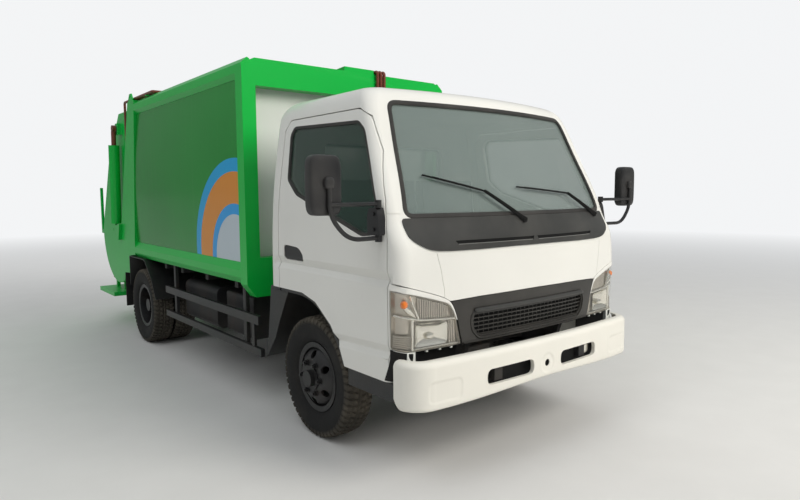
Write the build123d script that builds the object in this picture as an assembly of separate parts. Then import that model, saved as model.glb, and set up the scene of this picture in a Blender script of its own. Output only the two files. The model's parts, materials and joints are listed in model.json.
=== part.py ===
from build123d import *
import math
import os

os.makedirs("parts", exist_ok=True)

# Rear loading garbage truck. Millimetres, +Z up from the ground, the cab towards -Y, its left side at +X.
# Stations along the truck are measured back from the front axle, and place() moves the finished
# pieces so that the middle of the whole length is at the origin.

WHEELBASE = 3350.0
FRONT_END = -1110.0
REAR_END = 5440.0
MIDDLE = (FRONT_END + REAR_END) / 2
FIT = 0.05
SEAT = 0.3

# Wheels
TYRE_RADIUS = 387.5
TYRE_WIDTH = 200.0
TYRE_SHOULDER = 22.0
RIM_RADIUS = 222.0
RIM_HALF = 68.0
BEAD_RADIUS = 203.0
DISC_THICK = 12.0
HUB_RADIUS = 78.0
SPINDLE_RADIUS = 30.0
DRUM_RADIUS = 158.0
FRONT_TRACK_HALF = 832.5
DUAL_OUTER = 885.0
DUAL_PITCH = 220.0
HAND_HOLES = 6
HAND_HOLE_RADIUS = 24.0
HAND_HOLE_CIRCLE = 148.0

# Steering
KINGPIN_X = 700.0
KINGPIN_RADIUS = 16.0
KNUCKLE_EYE = 36.0
KNUCKLE_EYE_HEIGHT = 90.0
FORK_THICK = 34.0

# Frame rails and what they carry
RAIL_OUTER = 420.0
RAIL_WIDTH = 62.0
RAIL_LOW = 520.0
RAIL_HIGH = 700.0
RAIL_WALL = 9.0
RAIL_FRONT = -840.0
RAIL_REAR = 4020.0
CROSSMEMBERS = (1180.0, 1900.0, 2650.0, 3000.0, 3700.0, 3980.0)

# Cab outline by height: height, half width, front at the middle, rear, corner radius, bow of the front
CAB_ROWS = (
    (560.0, 975.0, -935.0, 455.0, 95.0, 55.0),
    (720.0, 981.0, -1000.0, 455.0, 95.0, 60.0),
    (1120.0, 985.0, -1008.0, 452.0, 95.0, 66.0),
    (1260.0, 985.0, -1004.0, 448.0, 90.0, 78.0),
    (1420.0, 980.0, -968.0, 444.0, 80.0, 122.0),
    (1850.0, 928.0, -772.0, 456.0, 80.0, 112.0),
    (2040.0, 896.0, -680.0, 456.0, 84.0, 105.0),
    (2110.0, 862.0, -632.0, 418.0, 90.0, 95.0),
    (2150.0, 800.0, -560.0, 372.0, 100.0, 80.0),
    (2170.0, 690.0, -440.0, 280.0, 110.0, 60.0),
)
CAB_WALL = 50.0
CAB_REAR_CORNER = 60.0
SEAT_DECK = 935.0
ARCH_FRONT = -421.0
FLOOR_UNDER = 760.0
FLOOR_HALF = 600.0
TUNNEL_HALF = 300.0
SHUT_GAP = 6.0
CAB_PIVOT = (-870.0, 740.0)
CAB_LUG_X = 462.0
CAB_LUG_THICK = 24.0
CAB_PIN_RADIUS = 15.0

# Doors, as outlines of station and height. DOOR_INNER bounds them towards the cab: half width, height
DOOR_OUTLINE = (
    (-845.0, 560.0), (-845.0, 1300.0), (-790.0, 1517.0), (-690.0, 1777.0), (-590.0, 1972.0),
    (-503.0, 2022.0), (262.0, 2026.0), (322.0, 1960.0), (325.0, 500.0), (-845.0, 500.0),
)
DOOR_INNER = (
    (910.0, 480.0), (910.0, 1420.0), (853.0, 1850.0), (821.0, 2040.0), (1100.0, 2040.0), (1100.0, 480.0),
)
# Below this height the door keeps outside this half width, clear of the floor as it swings
DOOR_FOOT = (931.0, 616.0)
DOOR_HINGE = (981.0, -842.0)
DOOR_HINGE_RADIUS = 4.5
DOOR_HINGE_SPANS = ((760.0, 840.0), (1120.0, 1200.0))
WINDOW_OUTLINE = (
    (-745.0, 1490.0), (-660.0, 1699.0), (-570.0, 1900.0), (-505.0, 1950.0), (205.0, 1975.0),
    (245.0, 1925.0), (225.0, 1640.0), (100.0, 1543.0), (-300.0, 1422.0), (-617.0, 1323.0),
    (-735.0, 1335.0),
)
HANDLE_OUTLINE = ((8.0, 1130.0), (8.0, 1170.0), (60.0, 1215.0), (250.0, 1226.0), (250.0, 1130.0))
HANDLE_DEPTH = 22.0
GLASS = 6.0
GLASS_SET = 12.0

# Windscreen, lamps and grille, as outlines of half width and height
SCREEN_OUTLINE = ((-874.0, 1432.0), (-770.0, 2064.0), (770.0, 2064.0), (874.0, 1432.0))
SCREEN_REAR = -500.0
COWL_OUTLINE = (
    (-950.0, 1430.0), (-900.0, 1407.0), (900.0, 1407.0), (950.0, 1430.0), (946.0, 1392.0),
    (935.0, 1366.0), (905.0, 1338.0), (850.0, 1297.0), (800.0, 1270.0), (745.0, 1254.0), (700.0, 1250.0),
    (-700.0, 1250.0), (-745.0, 1254.0), (-800.0, 1270.0), (-850.0, 1297.0), (-905.0, 1338.0),
    (-935.0, 1366.0), (-946.0, 1392.0),
)
COWL_SLOTS = ((-625.0, -25.0), (45.0, 620.0))
COWL_THICK = 9.0
COWL_GROOVE = 6.0
GRILLE_OUTLINE = ((-600.0, 730.0), (-655.0, 980.0), (655.0, 980.0), (600.0, 730.0))
GRILLE_MESH = ((-455.0, 765.0), (-490.0, 905.0), (490.0, 905.0), (455.0, 765.0))
MESH_BARS = 15
MESH_ROWS = 3
LAMP_OUTLINE = (
    (645.0, 905.0), (700.0, 1000.0), (820.0, 1050.0), (990.0, 1116.0), (990.0, 800.0), (950.0, 768.0),
    (628.0, 752.0),
)
LAMP_REAR = -858.0
LAMP_DEPTH = 42.0
PROUD = 4.0

# Front bumper
BUMPER_LOW = 450.0
BUMPER_HIGH = 712.0
BUMPER_WALL = 28.0
BUMPER_SLOT = (110.0, 490.0, 505.0, 600.0)
BUMPER_HALF = 1000.0
TOW_RADIUS = 21.0
TOW_HEIGHT = 552.0

# Body of the truck behind the cab
BODY_HALF = 970.0
BODY_FRONT = 840.0
HOOP_DEEP = 110.0
HOOP_WIDE = 107.0
BODY_TOP = 2525.0
BEAM_LOW = 2330.0
BODY_SILL_LOW = 884.0
BODY_SILL_HIGH = 1041.0
HOOP_LOW = 790.0
FLOOR_TOP = 930.0
FLOOR_THICK = 30.0
WALL = 30.0
FRONT_WALL = 985.0
TOP_RAIL_LOW = 2385.0

# Pipes laid on the body, on clips
PIPES = 3
PIPE_RADIUS = 13.0
PIPE_PITCH = 34.0
PIPE_STAND = 10.0
PIPE_EDGE = -938.0
PIPE_TURN = 2900.0
PIPE_DROP = 3850.0

# The joint face between body and tailgate leans back towards its foot
FACE_TOP = (3640.0, 2525.0)
FACE_FOOT = (4285.0, 660.0)
POST_TOP_FRONT = 3420.0
POST_FOOT_FRONT = 3790.0
POST_FOOT_LOW = 690.0
POST_SILL_FRONT = 3600.0
POST_WIDE = 62.0
FACE_GAP = 12.0

# Tailgate with its packing blade. The carrier slides along the joint face
HINGE = (3735.0, 2572.0)
HINGE_RADIUS = 42.0
HINGE_PIN = 20.0
GATE_HALF = 895.0
GATE_WALL = 20.0
ROOF_HIGH = 2475.0
GATE_ROOF_REAR = 4280.0
LIP = (4800.0, 1950.0)
PIVOT_LOW = (4580.0, 1120.0)
STROKE = 500.0
BLADE_REACH = 600.0
BELLY_INNER = 616.0
BELLY_WALL = 12.0
SILL_Z = 1125.0
BLADE_LEAN = 15.0
CARRIER_HIGH = 760.0
CARRIER_HALF = 838.0
SWEEP_X = 280.0
SLIDE_X = 600.0
ROD_PLANE = 112.0
BARREL_RADIUS = 36.0
ROD_RADIUS = 20.0
LIFT_X = 970.0
LIFT_FOOT = (4300.0, 1150.0)
LIFT_EYE = (4230.0, 2300.0)
LIFT_RADIUS = 58.0
LIFTER_PIVOT = (5330.0, 1040.0)
LIFTER_SHAFT = 24.0


def place(shape):
    """Moves a piece from stations measured at the front axle to the middle of the truck."""
    return Pos(0, -MIDDLE, 0) * shape


def block(x0, x1, y0, y1, z0, z1):
    """A box between three pairs of limits."""
    return Pos((x0 + x1) / 2, (y0 + y1) / 2, (z0 + z1) / 2) * Box(x1 - x0, y1 - y0, z1 - z0)


def across(points, x0, x1, radius=0.0):
    """An outline of stations and heights, carried across the truck from x0 to x1."""
    x0, x1 = sorted((x0, x1))
    outline = Polygon(*points, align=None)
    if radius:
        outline = fillet(outline.vertices(), radius)
    return extrude(Plane.YZ.offset(x0) * outline, amount=x1 - x0, dir=(1, 0, 0))


def along(points, y0, y1, radius=0.0):
    """An outline of widths and heights, carried along the truck from y0 to y1."""
    outline = Polygon(*points, align=None)
    if radius:
        outline = fillet(outline.vertices(), radius)
    return extrude(Plane.XZ.offset(-y0) * outline, amount=y1 - y0, dir=(0, 1, 0))


def both(shape):
    """A piece and its mirror image on the other side of the truck."""
    return shape + mirror(shape, Plane.YZ)


def rod(start, end, radius):
    """A round bar between two points."""
    start, end = Vector(*start), Vector(*end)
    run = end - start
    bar = Cylinder(radius, run.length, align=(Align.CENTER, Align.CENTER, Align.MIN))
    return Plane(origin=start, z_dir=run) * bar


def pin(x0, x1, y, z, radius):
    """A round bar across the truck."""
    return rod((x0, y, z), (x1, y, z), radius)


def bent_tube(points, radius, bend):
    """A round tube along straight runs joined by tangent arcs."""
    path = FilletPolyline(*points, radius=bend)
    section = Plane(origin=path @ 0, z_dir=path % 0) * Circle(radius)
    return sweep(section, path=path)


def keep(node, shape):
    """Writes one piece to its own file."""
    export_step(place(shape), f"parts/{node}.step")


# Cab

def cab_section(height, half, front, rear, corner, bow, rear_corner):
    """One level of the cab in plan: bowed front, round corners, straight sides and back."""
    turn = 1 - math.sqrt(0.5)
    flat = half - corner
    edge = front + bow
    side = edge + corner
    back = rear - rear_corner
    k, r = corner * turn, rear_corner * turn
    lines = [
        ThreePointArc((-flat, edge), (0, front), (flat, edge)),
        ThreePointArc((flat, edge), (half - k, edge + k), (half, side)),
        Line((half, side), (half, back)),
        ThreePointArc((half, back), (half - r, rear - r), (half - rear_corner, rear)),
        Line((half - rear_corner, rear), (-half + rear_corner, rear)),
        ThreePointArc((-half + rear_corner, rear), (-half + r, rear - r), (-half, back)),
        Line((-half, back), (-half, side)),
        ThreePointArc((-half, side), (-half + k, edge + k), (-flat, edge)),
    ]
    return Pos(0, 0, height) * make_face(lines)


def cab_form(inset):
    """The closed form of the cab, moved in by inset all round and at the roof."""
    sections = []
    for height, half, front, rear, corner, bow in CAB_ROWS:
        level = height - inset if height > CAB_ROWS[6][0] else height
        if len(sections) == 0:
            level = height
        radius = max(corner - inset, 20.0)
        rear_radius = max(CAB_REAR_CORNER - inset, 12.0)
        sections.append(
            cab_section(level, half - inset, front + inset, rear - inset, radius, bow, rear_radius))
    return loft(sections, ruled=True)


def front_at(x, z):
    """Station of the cab's front surface at a width and height."""
    for low, high in zip(CAB_ROWS, CAB_ROWS[1:]):
        if low[0] <= z <= high[0]:
            share = (z - low[0]) / (high[0] - low[0])
            half, front, corner, bow = (low[i] + share * (high[i] - low[i]) for i in (1, 2, 4, 5))
            flat = half - corner
            if abs(x) <= flat:
                return front + bow * (x / flat) ** 2
            return front + bow + corner - math.sqrt(corner ** 2 - (abs(x) - flat) ** 2)
    return CAB_ROWS[0][2]


def under_cab(grow):
    """What the cab leaves open below: wheel arches and seat deck, floor and engine tunnel."""
    low = 300.0
    arch = (
        (ARCH_FRONT - grow, low), (ARCH_FRONT - grow, 558.0), (-373.0 - grow, 677.0 + grow / 2),
        (-291.0 - grow / 2, 781.0 + grow), (-126.0, 896.0 + grow), (30.0, SEAT_DECK + grow),
        (700.0, SEAT_DECK + grow), (700.0, low),
    )
    front = -945.0
    space = across(arch, -1100.0, 1100.0)
    space += block(-FLOOR_HALF - grow, FLOOR_HALF + grow, front, 0.0, low, FLOOR_UNDER + grow)
    space += block(-TUNNEL_HALF - grow, TUNNEL_HALF + grow, front, 0.0, low, SEAT_DECK + grow)
    return space


def door_prism(gap, side):
    """The space of one door, smaller by gap all round."""
    face = Polygon(*DOOR_OUTLINE, align=None)
    if gap:
        face = offset(face, amount=-gap)
    x0, x1 = (600.0, 1100.0) if side > 0 else (-1100.0, -600.0)
    space = extrude(Plane.YZ.offset(x0) * face, amount=x1 - x0, dir=(1, 0, 0))
    return space & along([(side * (x + gap / 2), z) for x, z in DOOR_INNER], -1200.0, 700.0)


outer = cab_form(0.0) - under_cab(0.0)
hollow = cab_form(CAB_WALL) & block(-1000, 1000, -1000, 500, CAB_ROWS[0][0] + CAB_WALL, 2200)
hollow -= under_cab(CAB_WALL)
wall = outer - hollow
skin = cab_form(0.0) - cab_form(CAB_WALL) - under_cab(0.0)

screen_hole = along(SCREEN_OUTLINE, -1300.0, SCREEN_REAR, 60.0)
rear_window = along(((-560, 1540), (-560, 1900), (560, 1900), (560, 1540)), 350.0, 600.0, 50.0)
grille_hole = along(GRILLE_OUTLINE, -1200.0, -940.0)
window = {side: across(WINDOW_OUTLINE, 600.0 * side, 1100.0 * side, 25.0) for side in (-1, 1)}


def lamp_prism(grow, side):
    """The space of one headlamp, which wraps round the corner of the cab."""
    outline = [(side * x, z) for x, z in LAMP_OUTLINE]
    space = along(outline, -1200.0, LAMP_REAR + grow)
    return space


cab_shell = wall - screen_hole - rear_window - grille_hole
for side in (-1, 1):
    cab_shell -= skin & door_prism(0.0, side)
    for low, high in DOOR_HINGE_SPANS:
        hinge_x, hinge_y = side * DOOR_HINGE[0], DOOR_HINGE[1]
        groove = rod((hinge_x, hinge_y, low - SEAT), (hinge_x, hinge_y, high + SEAT),
                     DOOR_HINGE_RADIUS + SEAT)
        cab_shell -= groove
    cab_shell -= lamp_prism(2.0, side) - cab_form(LAMP_DEPTH + 2.0)
for side in (-1, 1):
    x0 = side * (CAB_LUG_X - CAB_LUG_THICK / 2)
    x1 = side * (CAB_LUG_X + CAB_LUG_THICK / 2)
    y, z = CAB_PIVOT
    lug = block(min(x0, x1), max(x0, x1), y - 28, y + 28, z, FLOOR_UNDER + 10)
    lug += pin(min(x0, x1), max(x0, x1), y, z, 28.0)
    cab_shell += lug
    cab_shell -= pin(min(x0, x1) - 1, max(x0, x1) + 1, y, z, CAB_PIN_RADIUS + FIT)
cab_shell -= block(-1100, 1100, -1200, -905, 400, 725)
keep("cab_shell", cab_shell)

glass_skin = cab_form(GLASS_SET) - cab_form(GLASS_SET + GLASS)
screen = glass_skin & screen_hole
back_glass = glass_skin & rear_window
keep("cab_glass", Compound([screen, back_glass]))

doors = {}
for side, name in ((-1, "right"), (1, "left")):
    door = skin & door_prism(SHUT_GAP, side)
    door -= window[side]
    foot_x, foot_z = DOOR_FOOT
    door -= block(min(side * 600, side * foot_x), max(side * 600, side * foot_x), -900, 400, 400, foot_z)
    for low, high in DOOR_HINGE_SPANS:
        door += rod((side * DOOR_HINGE[0], DOOR_HINGE[1], low), (side * DOOR_HINGE[0], DOOR_HINGE[1], high),
                    DOOR_HINGE_RADIUS)
    pocket = across(HANDLE_OUTLINE, side * (985.0 - HANDLE_DEPTH), side * 1100.0, 18.0)
    door -= pocket
    door_glass = glass_skin & window[side]
    keep(f"door_{name}", door)
    keep(f"door_glass_{name}", door_glass)

cowl = (cab_form(-COWL_THICK) - cab_form(-SEAT)) & along(COWL_OUTLINE, -1300.0, -700.0)
groove_skin = cab_form(-COWL_THICK - 2) - cab_form(COWL_GROOVE - COWL_THICK)
for x0, x1 in COWL_SLOTS:
    cowl -= groove_skin & block(x0, x1, -1200.0, -900.0, 1283.0, 1302.0)
keep("cowl_panel", cowl)

grille_outline = [(x * 0.996, z) for x, z in GRILLE_OUTLINE]
grille = (cab_form(-PROUD) - cab_form(24.0)) & along(grille_outline, -1200.0, -940.0)
mesh_low, mesh_high = GRILLE_MESH[0][1], GRILLE_MESH[1][1]
mesh_field = along(GRILLE_MESH, -1200.0, -900.0)
pitch_x = -2 * GRILLE_MESH[1][0] / MESH_BARS
pitch_z = (mesh_high - mesh_low) / MESH_ROWS
holes = [
    block(GRILLE_MESH[1][0] + pitch_x * i + 6, GRILLE_MESH[1][0] + pitch_x * (i + 1) - 6, -1200.0, -900.0,
          mesh_low + pitch_z * j + 5, mesh_low + pitch_z * (j + 1) - 5)
    for i in range(MESH_BARS) for j in range(MESH_ROWS)
]
grille -= (Compound(holes) & mesh_field)
keep("grille", grille)

lamps = []
for side in (-1, 1):
    lamp = (cab_form(-PROUD) - cab_form(LAMP_DEPTH)) & lamp_prism(0.0, side)
    lamps.append(lamp & block(-1100, 1100, -1200, LAMP_REAR, 700, 1200))
keep("headlamps", Compound(lamps))

# Black steps below the doors and the lips of the wheel arches
trim = []
for side in (-1, 1):
    top = CAB_ROWS[0][0] - SEAT
    step = across(((-893, 462), (-893, top), (-455, top), (-455, 462)), side * 800.0, side * 972.0)
    trim.append(step)
keep("cab_steps", Compound(trim))

# Wipers rest along the foot of the windscreen: pivot, heel and tip as widths and heights
WIPERS = (((-100, 1395), (-430, 1530), (-860, 1640)), ((626, 1395), (308, 1505), (-150, 1580)))
WIPER_LIFT = 22.0
wipers = []
for pivot, heel, tip in WIPERS:
    at = [(x, front_at(x, z) - WIPER_LIFT, z) for x, z in (pivot, heel, tip)]
    base = (at[0][0], at[0][1] + WIPER_LIFT, at[0][2])
    wiper = rod(base, (at[0][0], at[0][1] - 8, at[0][2]), 12.0) - cab_form(-COWL_THICK - SEAT)
    wiper += bent_tube(at, 6.5, 30.0)
    wipers.append(wiper)
keep("wipers", Compound(wipers))

# Seats and dashboard with the steering wheel on the left
seat_deck = SEAT_DECK + CAB_WALL + SEAT
seats = []
for x0, x1 in ((120.0, 640.0), (-740.0, 40.0)):
    cushion = block(x0, x1, -330, 160, seat_deck, seat_deck + 120)
    back = across(((90, seat_deck + 60), (150, 1640), (215, 1640), (215, seat_deck + 60)), x0, x1)
    seats.append(cushion + back)
keep("seats", Compound(seats))

dash_outline = ((-880, 1010), (-880, 1330), (-800, 1370), (-640, 1370), (-600, 1180), (-660, 1010))
dashboard = across(dash_outline, -860.0, 860.0, 20.0) & cab_form(CAB_WALL + 0.6)
WHEEL_CENTRE = (400.0, -470.0, 1290.0)
column = Vector(0, 0.46, 0.89).normalized()
centre = Vector(*WHEEL_CENTRE)
column_foot = centre - column * 330.0
wheel = Plane(origin=centre, z_dir=column) * Torus(195.0, 14.0)
wheel += Plane(origin=centre, z_dir=column) * Box(380, 30, 14)
wheel += Plane(origin=centre, z_dir=column) * Box(30, 380, 14)
wheel += rod(column_foot, centre, 32.0)
bracket = rod(column_foot, (WHEEL_CENTRE[0], -700.0, 1120.0), 34.0)
dashboard = dashboard + wheel + bracket + Pos(*column_foot) * Sphere(34.0)
keep("dashboard", dashboard)

# Mirrors on bent arms from the front edge of each door
mirrors = {}
for side, name in ((-1, "right"), (1, "left")):
    arm_y = -790.0
    plate_x = CAB_ROWS[3][1] + SEAT
    housing = block(1235, 1410, arm_y - 30, arm_y + 45, 1445, 1735)
    housing = fillet(housing.edges().filter_by(Axis.Y), 32.0)
    base = block(plate_x, plate_x + 30, arm_y - 32, arm_y + 32, 1270, 1500)
    low = bent_tube([(plate_x + 15, arm_y, 1310), (1200, arm_y, 1320), (1320, arm_y, 1460)], 11.0, 60.0)
    high = rod((plate_x + 15, arm_y, 1485), (1310, arm_y, 1510), 10.0)
    arms = housing + base + low + high
    keep(f"mirror_{name}", arms if side > 0 else mirror(arms, Plane.YZ))

# Front bumper: a bowed shell with two slots, seated on the frame's horns
BUMPER_BOW = 40.0
BUMPER_CORNER = 150.0
BUMPER_ENDS = -905.0


def bumper_plan(inset):
    """The bumper in plan: bowed face and round ends."""
    half = BUMPER_HALF - inset
    flat = half - BUMPER_CORNER
    front = FRONT_END + inset
    edge = front + BUMPER_BOW
    turn = BUMPER_CORNER * (1 - math.sqrt(0.5))
    side = edge + BUMPER_CORNER
    return make_face([
        ThreePointArc((-flat, edge), (0, front), (flat, edge)),
        ThreePointArc((flat, edge), (half - turn, edge + turn), (half, side)),
        Line((half, side), (half, side + 60)),
        Line((half, side + 60), (-half, side + 60)),
        Line((-half, side + 60), (-half, side)),
        ThreePointArc((-half, side), (-half + turn, edge + turn), (-flat, edge)),
    ])


bumper = Pos(0, 0, BUMPER_LOW) * extrude(bumper_plan(0), amount=BUMPER_HIGH - BUMPER_LOW, dir=(0, 0, 1))
bumper -= Pos(0, 0, BUMPER_LOW - 1) * extrude(
    bumper_plan(BUMPER_WALL), amount=BUMPER_HIGH - BUMPER_LOW + 2, dir=(0, 0, 1))
bumper &= block(-1100, 1100, -1300, BUMPER_ENDS, 400, 800)
for side in (-1, 1):
    x0, x1, z0, z1 = BUMPER_SLOT
    slot = ((side * x0, z0), (side * x0, z1), (side * x1, z1), (side * x1, z0))
    bumper -= along(slot, -1200.0, -1000.0, 25.0)
    recess = ((side * 693, 498), (side * 693, 608), (side * 905, 608), (side * 905, 498))
    bumper -= along(recess, -1200.0, FRONT_END + BUMPER_BOW + 10.0, 20.0)
bumper -= rod((0, FRONT_END - 1, TOW_HEIGHT), (0, FRONT_END + BUMPER_WALL + 1, TOW_HEIGHT), TOW_RADIUS)
keep("front_bumper", bumper)

# Frame
def channel(y0, y1):
    """One frame rail, open towards the middle of the truck."""
    x_in = RAIL_OUTER - RAIL_WIDTH
    full = block(x_in, RAIL_OUTER, y0, y1, RAIL_LOW, RAIL_HIGH)
    web, low, high = RAIL_OUTER - RAIL_WALL, RAIL_LOW + RAIL_WALL, RAIL_HIGH - RAIL_WALL
    return full - block(x_in - 1, web, y0 - 1, y1 + 1, low, high)


horn = block(RAIL_OUTER - RAIL_WIDTH, RAIL_OUTER, FRONT_END, RAIL_FRONT + 5, RAIL_LOW, 610)
horn -= block(0, RAIL_OUTER + 10, FRONT_END - 10, FRONT_END + 150, 400, 700) - Pos(0, 0, 400) * extrude(
    bumper_plan(BUMPER_WALL + SEAT), amount=300.0, dir=(0, 0, 1))
frame = both(channel(RAIL_FRONT, RAIL_REAR) + horn)
for y in CROSSMEMBERS:
    span = RAIL_OUTER - RAIL_WALL
    frame += block(-span, span, y - 30, y + 30, RAIL_LOW + 95, RAIL_LOW + 155)
frame += block(-RAIL_OUTER + RAIL_WALL, RAIL_OUTER - RAIL_WALL, -800, -740, RAIL_LOW + 10, RAIL_LOW + 70)
for side in (-1, 1):
    y, z = CAB_PIVOT
    x_side = CAB_LUG_X - CAB_LUG_THICK / 2 - 1
    ear_outline = (
        (y - 18, z - 20), (y - 18, z - 2), (y - 10, z + 11), (y + 18, z + 13), (y + 130, 620), (y + 90, 560),
        (y + 20, 600))
    ear = across(ear_outline, RAIL_OUTER, x_side)
    ear += pin(x_side, CAB_LUG_X + CAB_LUG_THICK / 2 + 4, y, z, CAB_PIN_RADIUS)
    frame += ear if side > 0 else mirror(ear, Plane.YZ)
keep("chassis_frame", frame)

# Axles with their leaf springs
SPRING_LEAF = 11.0
SPRING_SPECS = (
    # middle x, width, axle station, half length, height at the axle, leaves
    ("front", 458.0, 60.0, 0.0, 560.0, 440.0, 3),
    ("rear", 500.0, 64.0, WHEELBASE, 600.0, 478.0, 5),
)


def leaf_pack(x, width, station, half, seat_z, leaves):
    """A pack of bowed leaves, each shorter than the one above it, as one bent bar."""
    rise = 95.0
    pack = None
    for i in range(leaves):
        reach = half * (1 - 0.17 * i)
        top = seat_z + SPRING_LEAF * (leaves - i)
        lift = rise * (reach / half) ** 2
        upper = ThreePointArc((station - reach, top + lift), (station, top), (station + reach, top + lift))
        lower = ThreePointArc(
            (station + reach, top + lift - SPRING_LEAF), (station, top - SPRING_LEAF),
            (station - reach, top + lift - SPRING_LEAF))
        ends = [
            Line((station + reach, top + lift), (station + reach, top + lift - SPRING_LEAF)),
            Line((station - reach, top + lift - SPRING_LEAF), (station - reach, top + lift)),
        ]
        bar = make_face([upper, ends[0], lower, ends[1]])
        leaf = extrude(Plane.YZ.offset(x - width / 2) * bar, amount=width, dir=(1, 0, 0))
        pack = leaf if pack is None else pack + leaf
    top = seat_z + SPRING_LEAF * leaves + rise
    for y in (station - half, station + half):
        pack += pin(x - width / 2, x + width / 2, y, top, 20.0)
        hanger = block(RAIL_OUTER + SEAT, x + width / 2, y - 22, y + 22, top, top + 60)
        pack += hanger
    return pack


axle_z = TYRE_RADIUS
x_eye = KINGPIN_X
beam = along((
    (-x_eye, axle_z - 40), (-x_eye, axle_z + 40), (-560, axle_z + 30), (-480, axle_z - 25),
    (480, axle_z - 25),
    (560, axle_z + 30), (x_eye, axle_z + 40), (x_eye, axle_z - 40), (560, axle_z - 50), (480, axle_z - 105),
    (-480, axle_z - 105), (-560, axle_z - 50)), -32.0, 32.0)
for side in (-1, 1):
    eye = Pos(side * x_eye, 0, axle_z) * Cylinder(KNUCKLE_EYE, KNUCKLE_EYE_HEIGHT)
    beam += eye
    beam -= Pos(side * x_eye, 0, axle_z) * Cylinder(KINGPIN_RADIUS + FIT, KNUCKLE_EYE_HEIGHT + 10)
front_axle = beam
name, x, width, station, half, seat_z, leaves = SPRING_SPECS[0]
pack = leaf_pack(x, width, station, half, seat_z, leaves)
pack += block(x - 40, x + 40, -45, 45, axle_z - 60, seat_z + 12)
front_axle = front_axle + pack + mirror(pack, Plane.YZ)
keep("front_axle", front_axle)

inner_wheel = DUAL_OUTER - DUAL_PITCH
rear_axle = pin(-560, 560, WHEELBASE, axle_z, 62.0)
rear_axle += pin(-DUAL_OUTER - 40, DUAL_OUTER + 40, WHEELBASE, axle_z, SPINDLE_RADIUS)
rear_axle += Pos(0, WHEELBASE, axle_z) * Sphere(150.0)
rear_axle += rod((0, WHEELBASE - 120, axle_z), (0, WHEELBASE - 260, axle_z + 20), 60.0)
name, x, width, station, half, seat_z, leaves = SPRING_SPECS[1]
pack = leaf_pack(x, width, station, half, seat_z, leaves)
pack += block(x - 42, x + 42, station - 55, station + 55, axle_z, seat_z + 12)
rear_axle = rear_axle + pack + mirror(pack, Plane.YZ)
keep("rear_axle", rear_axle)

# Knuckles that carry the front wheels
for side, name in ((-1, "right"), (1, "left")):
    arm_low = axle_z - KNUCKLE_EYE_HEIGHT / 2 - 1 - FORK_THICK
    arm_high = axle_z + KNUCKLE_EYE_HEIGHT / 2 + 1
    knuckle = None
    for z in (arm_low, arm_high):
        arm = Pos(x_eye, 0, z + FORK_THICK / 2) * Cylinder(KNUCKLE_EYE, FORK_THICK)
        arm += block(x_eye, x_eye + 44, -36, 36, z, z + FORK_THICK)
        knuckle = arm if knuckle is None else knuckle + arm
    knuckle += block(x_eye + KNUCKLE_EYE + 4, x_eye + 56, -45, 45, arm_low, arm_high + FORK_THICK)
    kingpin_length = arm_high + FORK_THICK - arm_low
    knuckle += Pos(x_eye, 0, (arm_low + arm_high + FORK_THICK) / 2) * Cylinder(KINGPIN_RADIUS, kingpin_length)
    knuckle += pin(x_eye + 50, FRONT_TRACK_HALF + 95, 0, axle_z, SPINDLE_RADIUS)
    keep(f"knuckle_{name}", knuckle if side > 0 else mirror(knuckle, Plane.YZ))


# Wheels. Profiles hold distances from the wheel's middle plane and from its axis

def turned(points, centre_x, station, inside_out=1):
    """A profile turned about the wheel's axis. inside_out of -1 faces it the other way."""
    outline = Polygon(*[(centre_x + inside_out * a, r) for a, r in points], align=None)
    face = Plane(origin=(0, station, axle_z), x_dir=(1, 0, 0), z_dir=(0, -1, 0)) * outline
    return revolve(face, axis=Axis((0, station, axle_z), (1, 0, 0)), revolution_arc=360)


half_tyre = TYRE_WIDTH / 2
tyre_profile = (
    (-RIM_HALF + 2, BEAD_RADIUS + SEAT), (-RIM_HALF + 1, RIM_RADIUS + 2), (-half_tyre + 12, 248.0),
    (-half_tyre, 300.0),
    (-half_tyre, TYRE_RADIUS - TYRE_SHOULDER - 12), (-half_tyre + TYRE_SHOULDER, TYRE_RADIUS - 3),
    (0.0, TYRE_RADIUS), (half_tyre - TYRE_SHOULDER, TYRE_RADIUS - 3),
    (half_tyre, TYRE_RADIUS - TYRE_SHOULDER - 12), (half_tyre, 300.0), (half_tyre - 12, 248.0),
    (RIM_HALF - 1, RIM_RADIUS + 2), (RIM_HALF - 2, BEAD_RADIUS + SEAT),
)
rim_profile = (
    (-RIM_HALF, BEAD_RADIUS), (-RIM_HALF, RIM_RADIUS), (-RIM_HALF - 9, RIM_RADIUS),
    (-RIM_HALF - 6, BEAD_RADIUS - 14), (-20.0, BEAD_RADIUS - 26), (RIM_HALF + 6, BEAD_RADIUS - 14),
    (RIM_HALF + 9, RIM_RADIUS), (RIM_HALF, RIM_RADIUS),
    (RIM_HALF, BEAD_RADIUS),
)
DISC_OUT = DUAL_PITCH / 2


def wheel_disc(centre_x, station, facing, bore):
    """A dished disc from the rim's barrel out to its flat bolting face, with hand holes."""
    profile = (
        (52.0, BEAD_RADIUS - 16), (DISC_OUT - 26, BEAD_RADIUS - 38), (DISC_OUT, 122.0), (DISC_OUT, bore),
        (DISC_OUT - DISC_THICK, bore), (DISC_OUT - DISC_THICK, 114.0), (DISC_OUT - 38, BEAD_RADIUS - 44),
        (40.0, BEAD_RADIUS - 20),
    )
    disc = turned(profile, centre_x, station, facing)
    for i in range(HAND_HOLES):
        angle = 2 * math.pi * (i + 0.5) / HAND_HOLES
        y = station + HAND_HOLE_CIRCLE * math.cos(angle)
        z = axle_z + HAND_HOLE_CIRCLE * math.sin(angle)
        disc -= pin(*sorted((centre_x + facing * 56, centre_x + facing * 140)), y, z, HAND_HOLE_RADIUS)
    return disc


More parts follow.
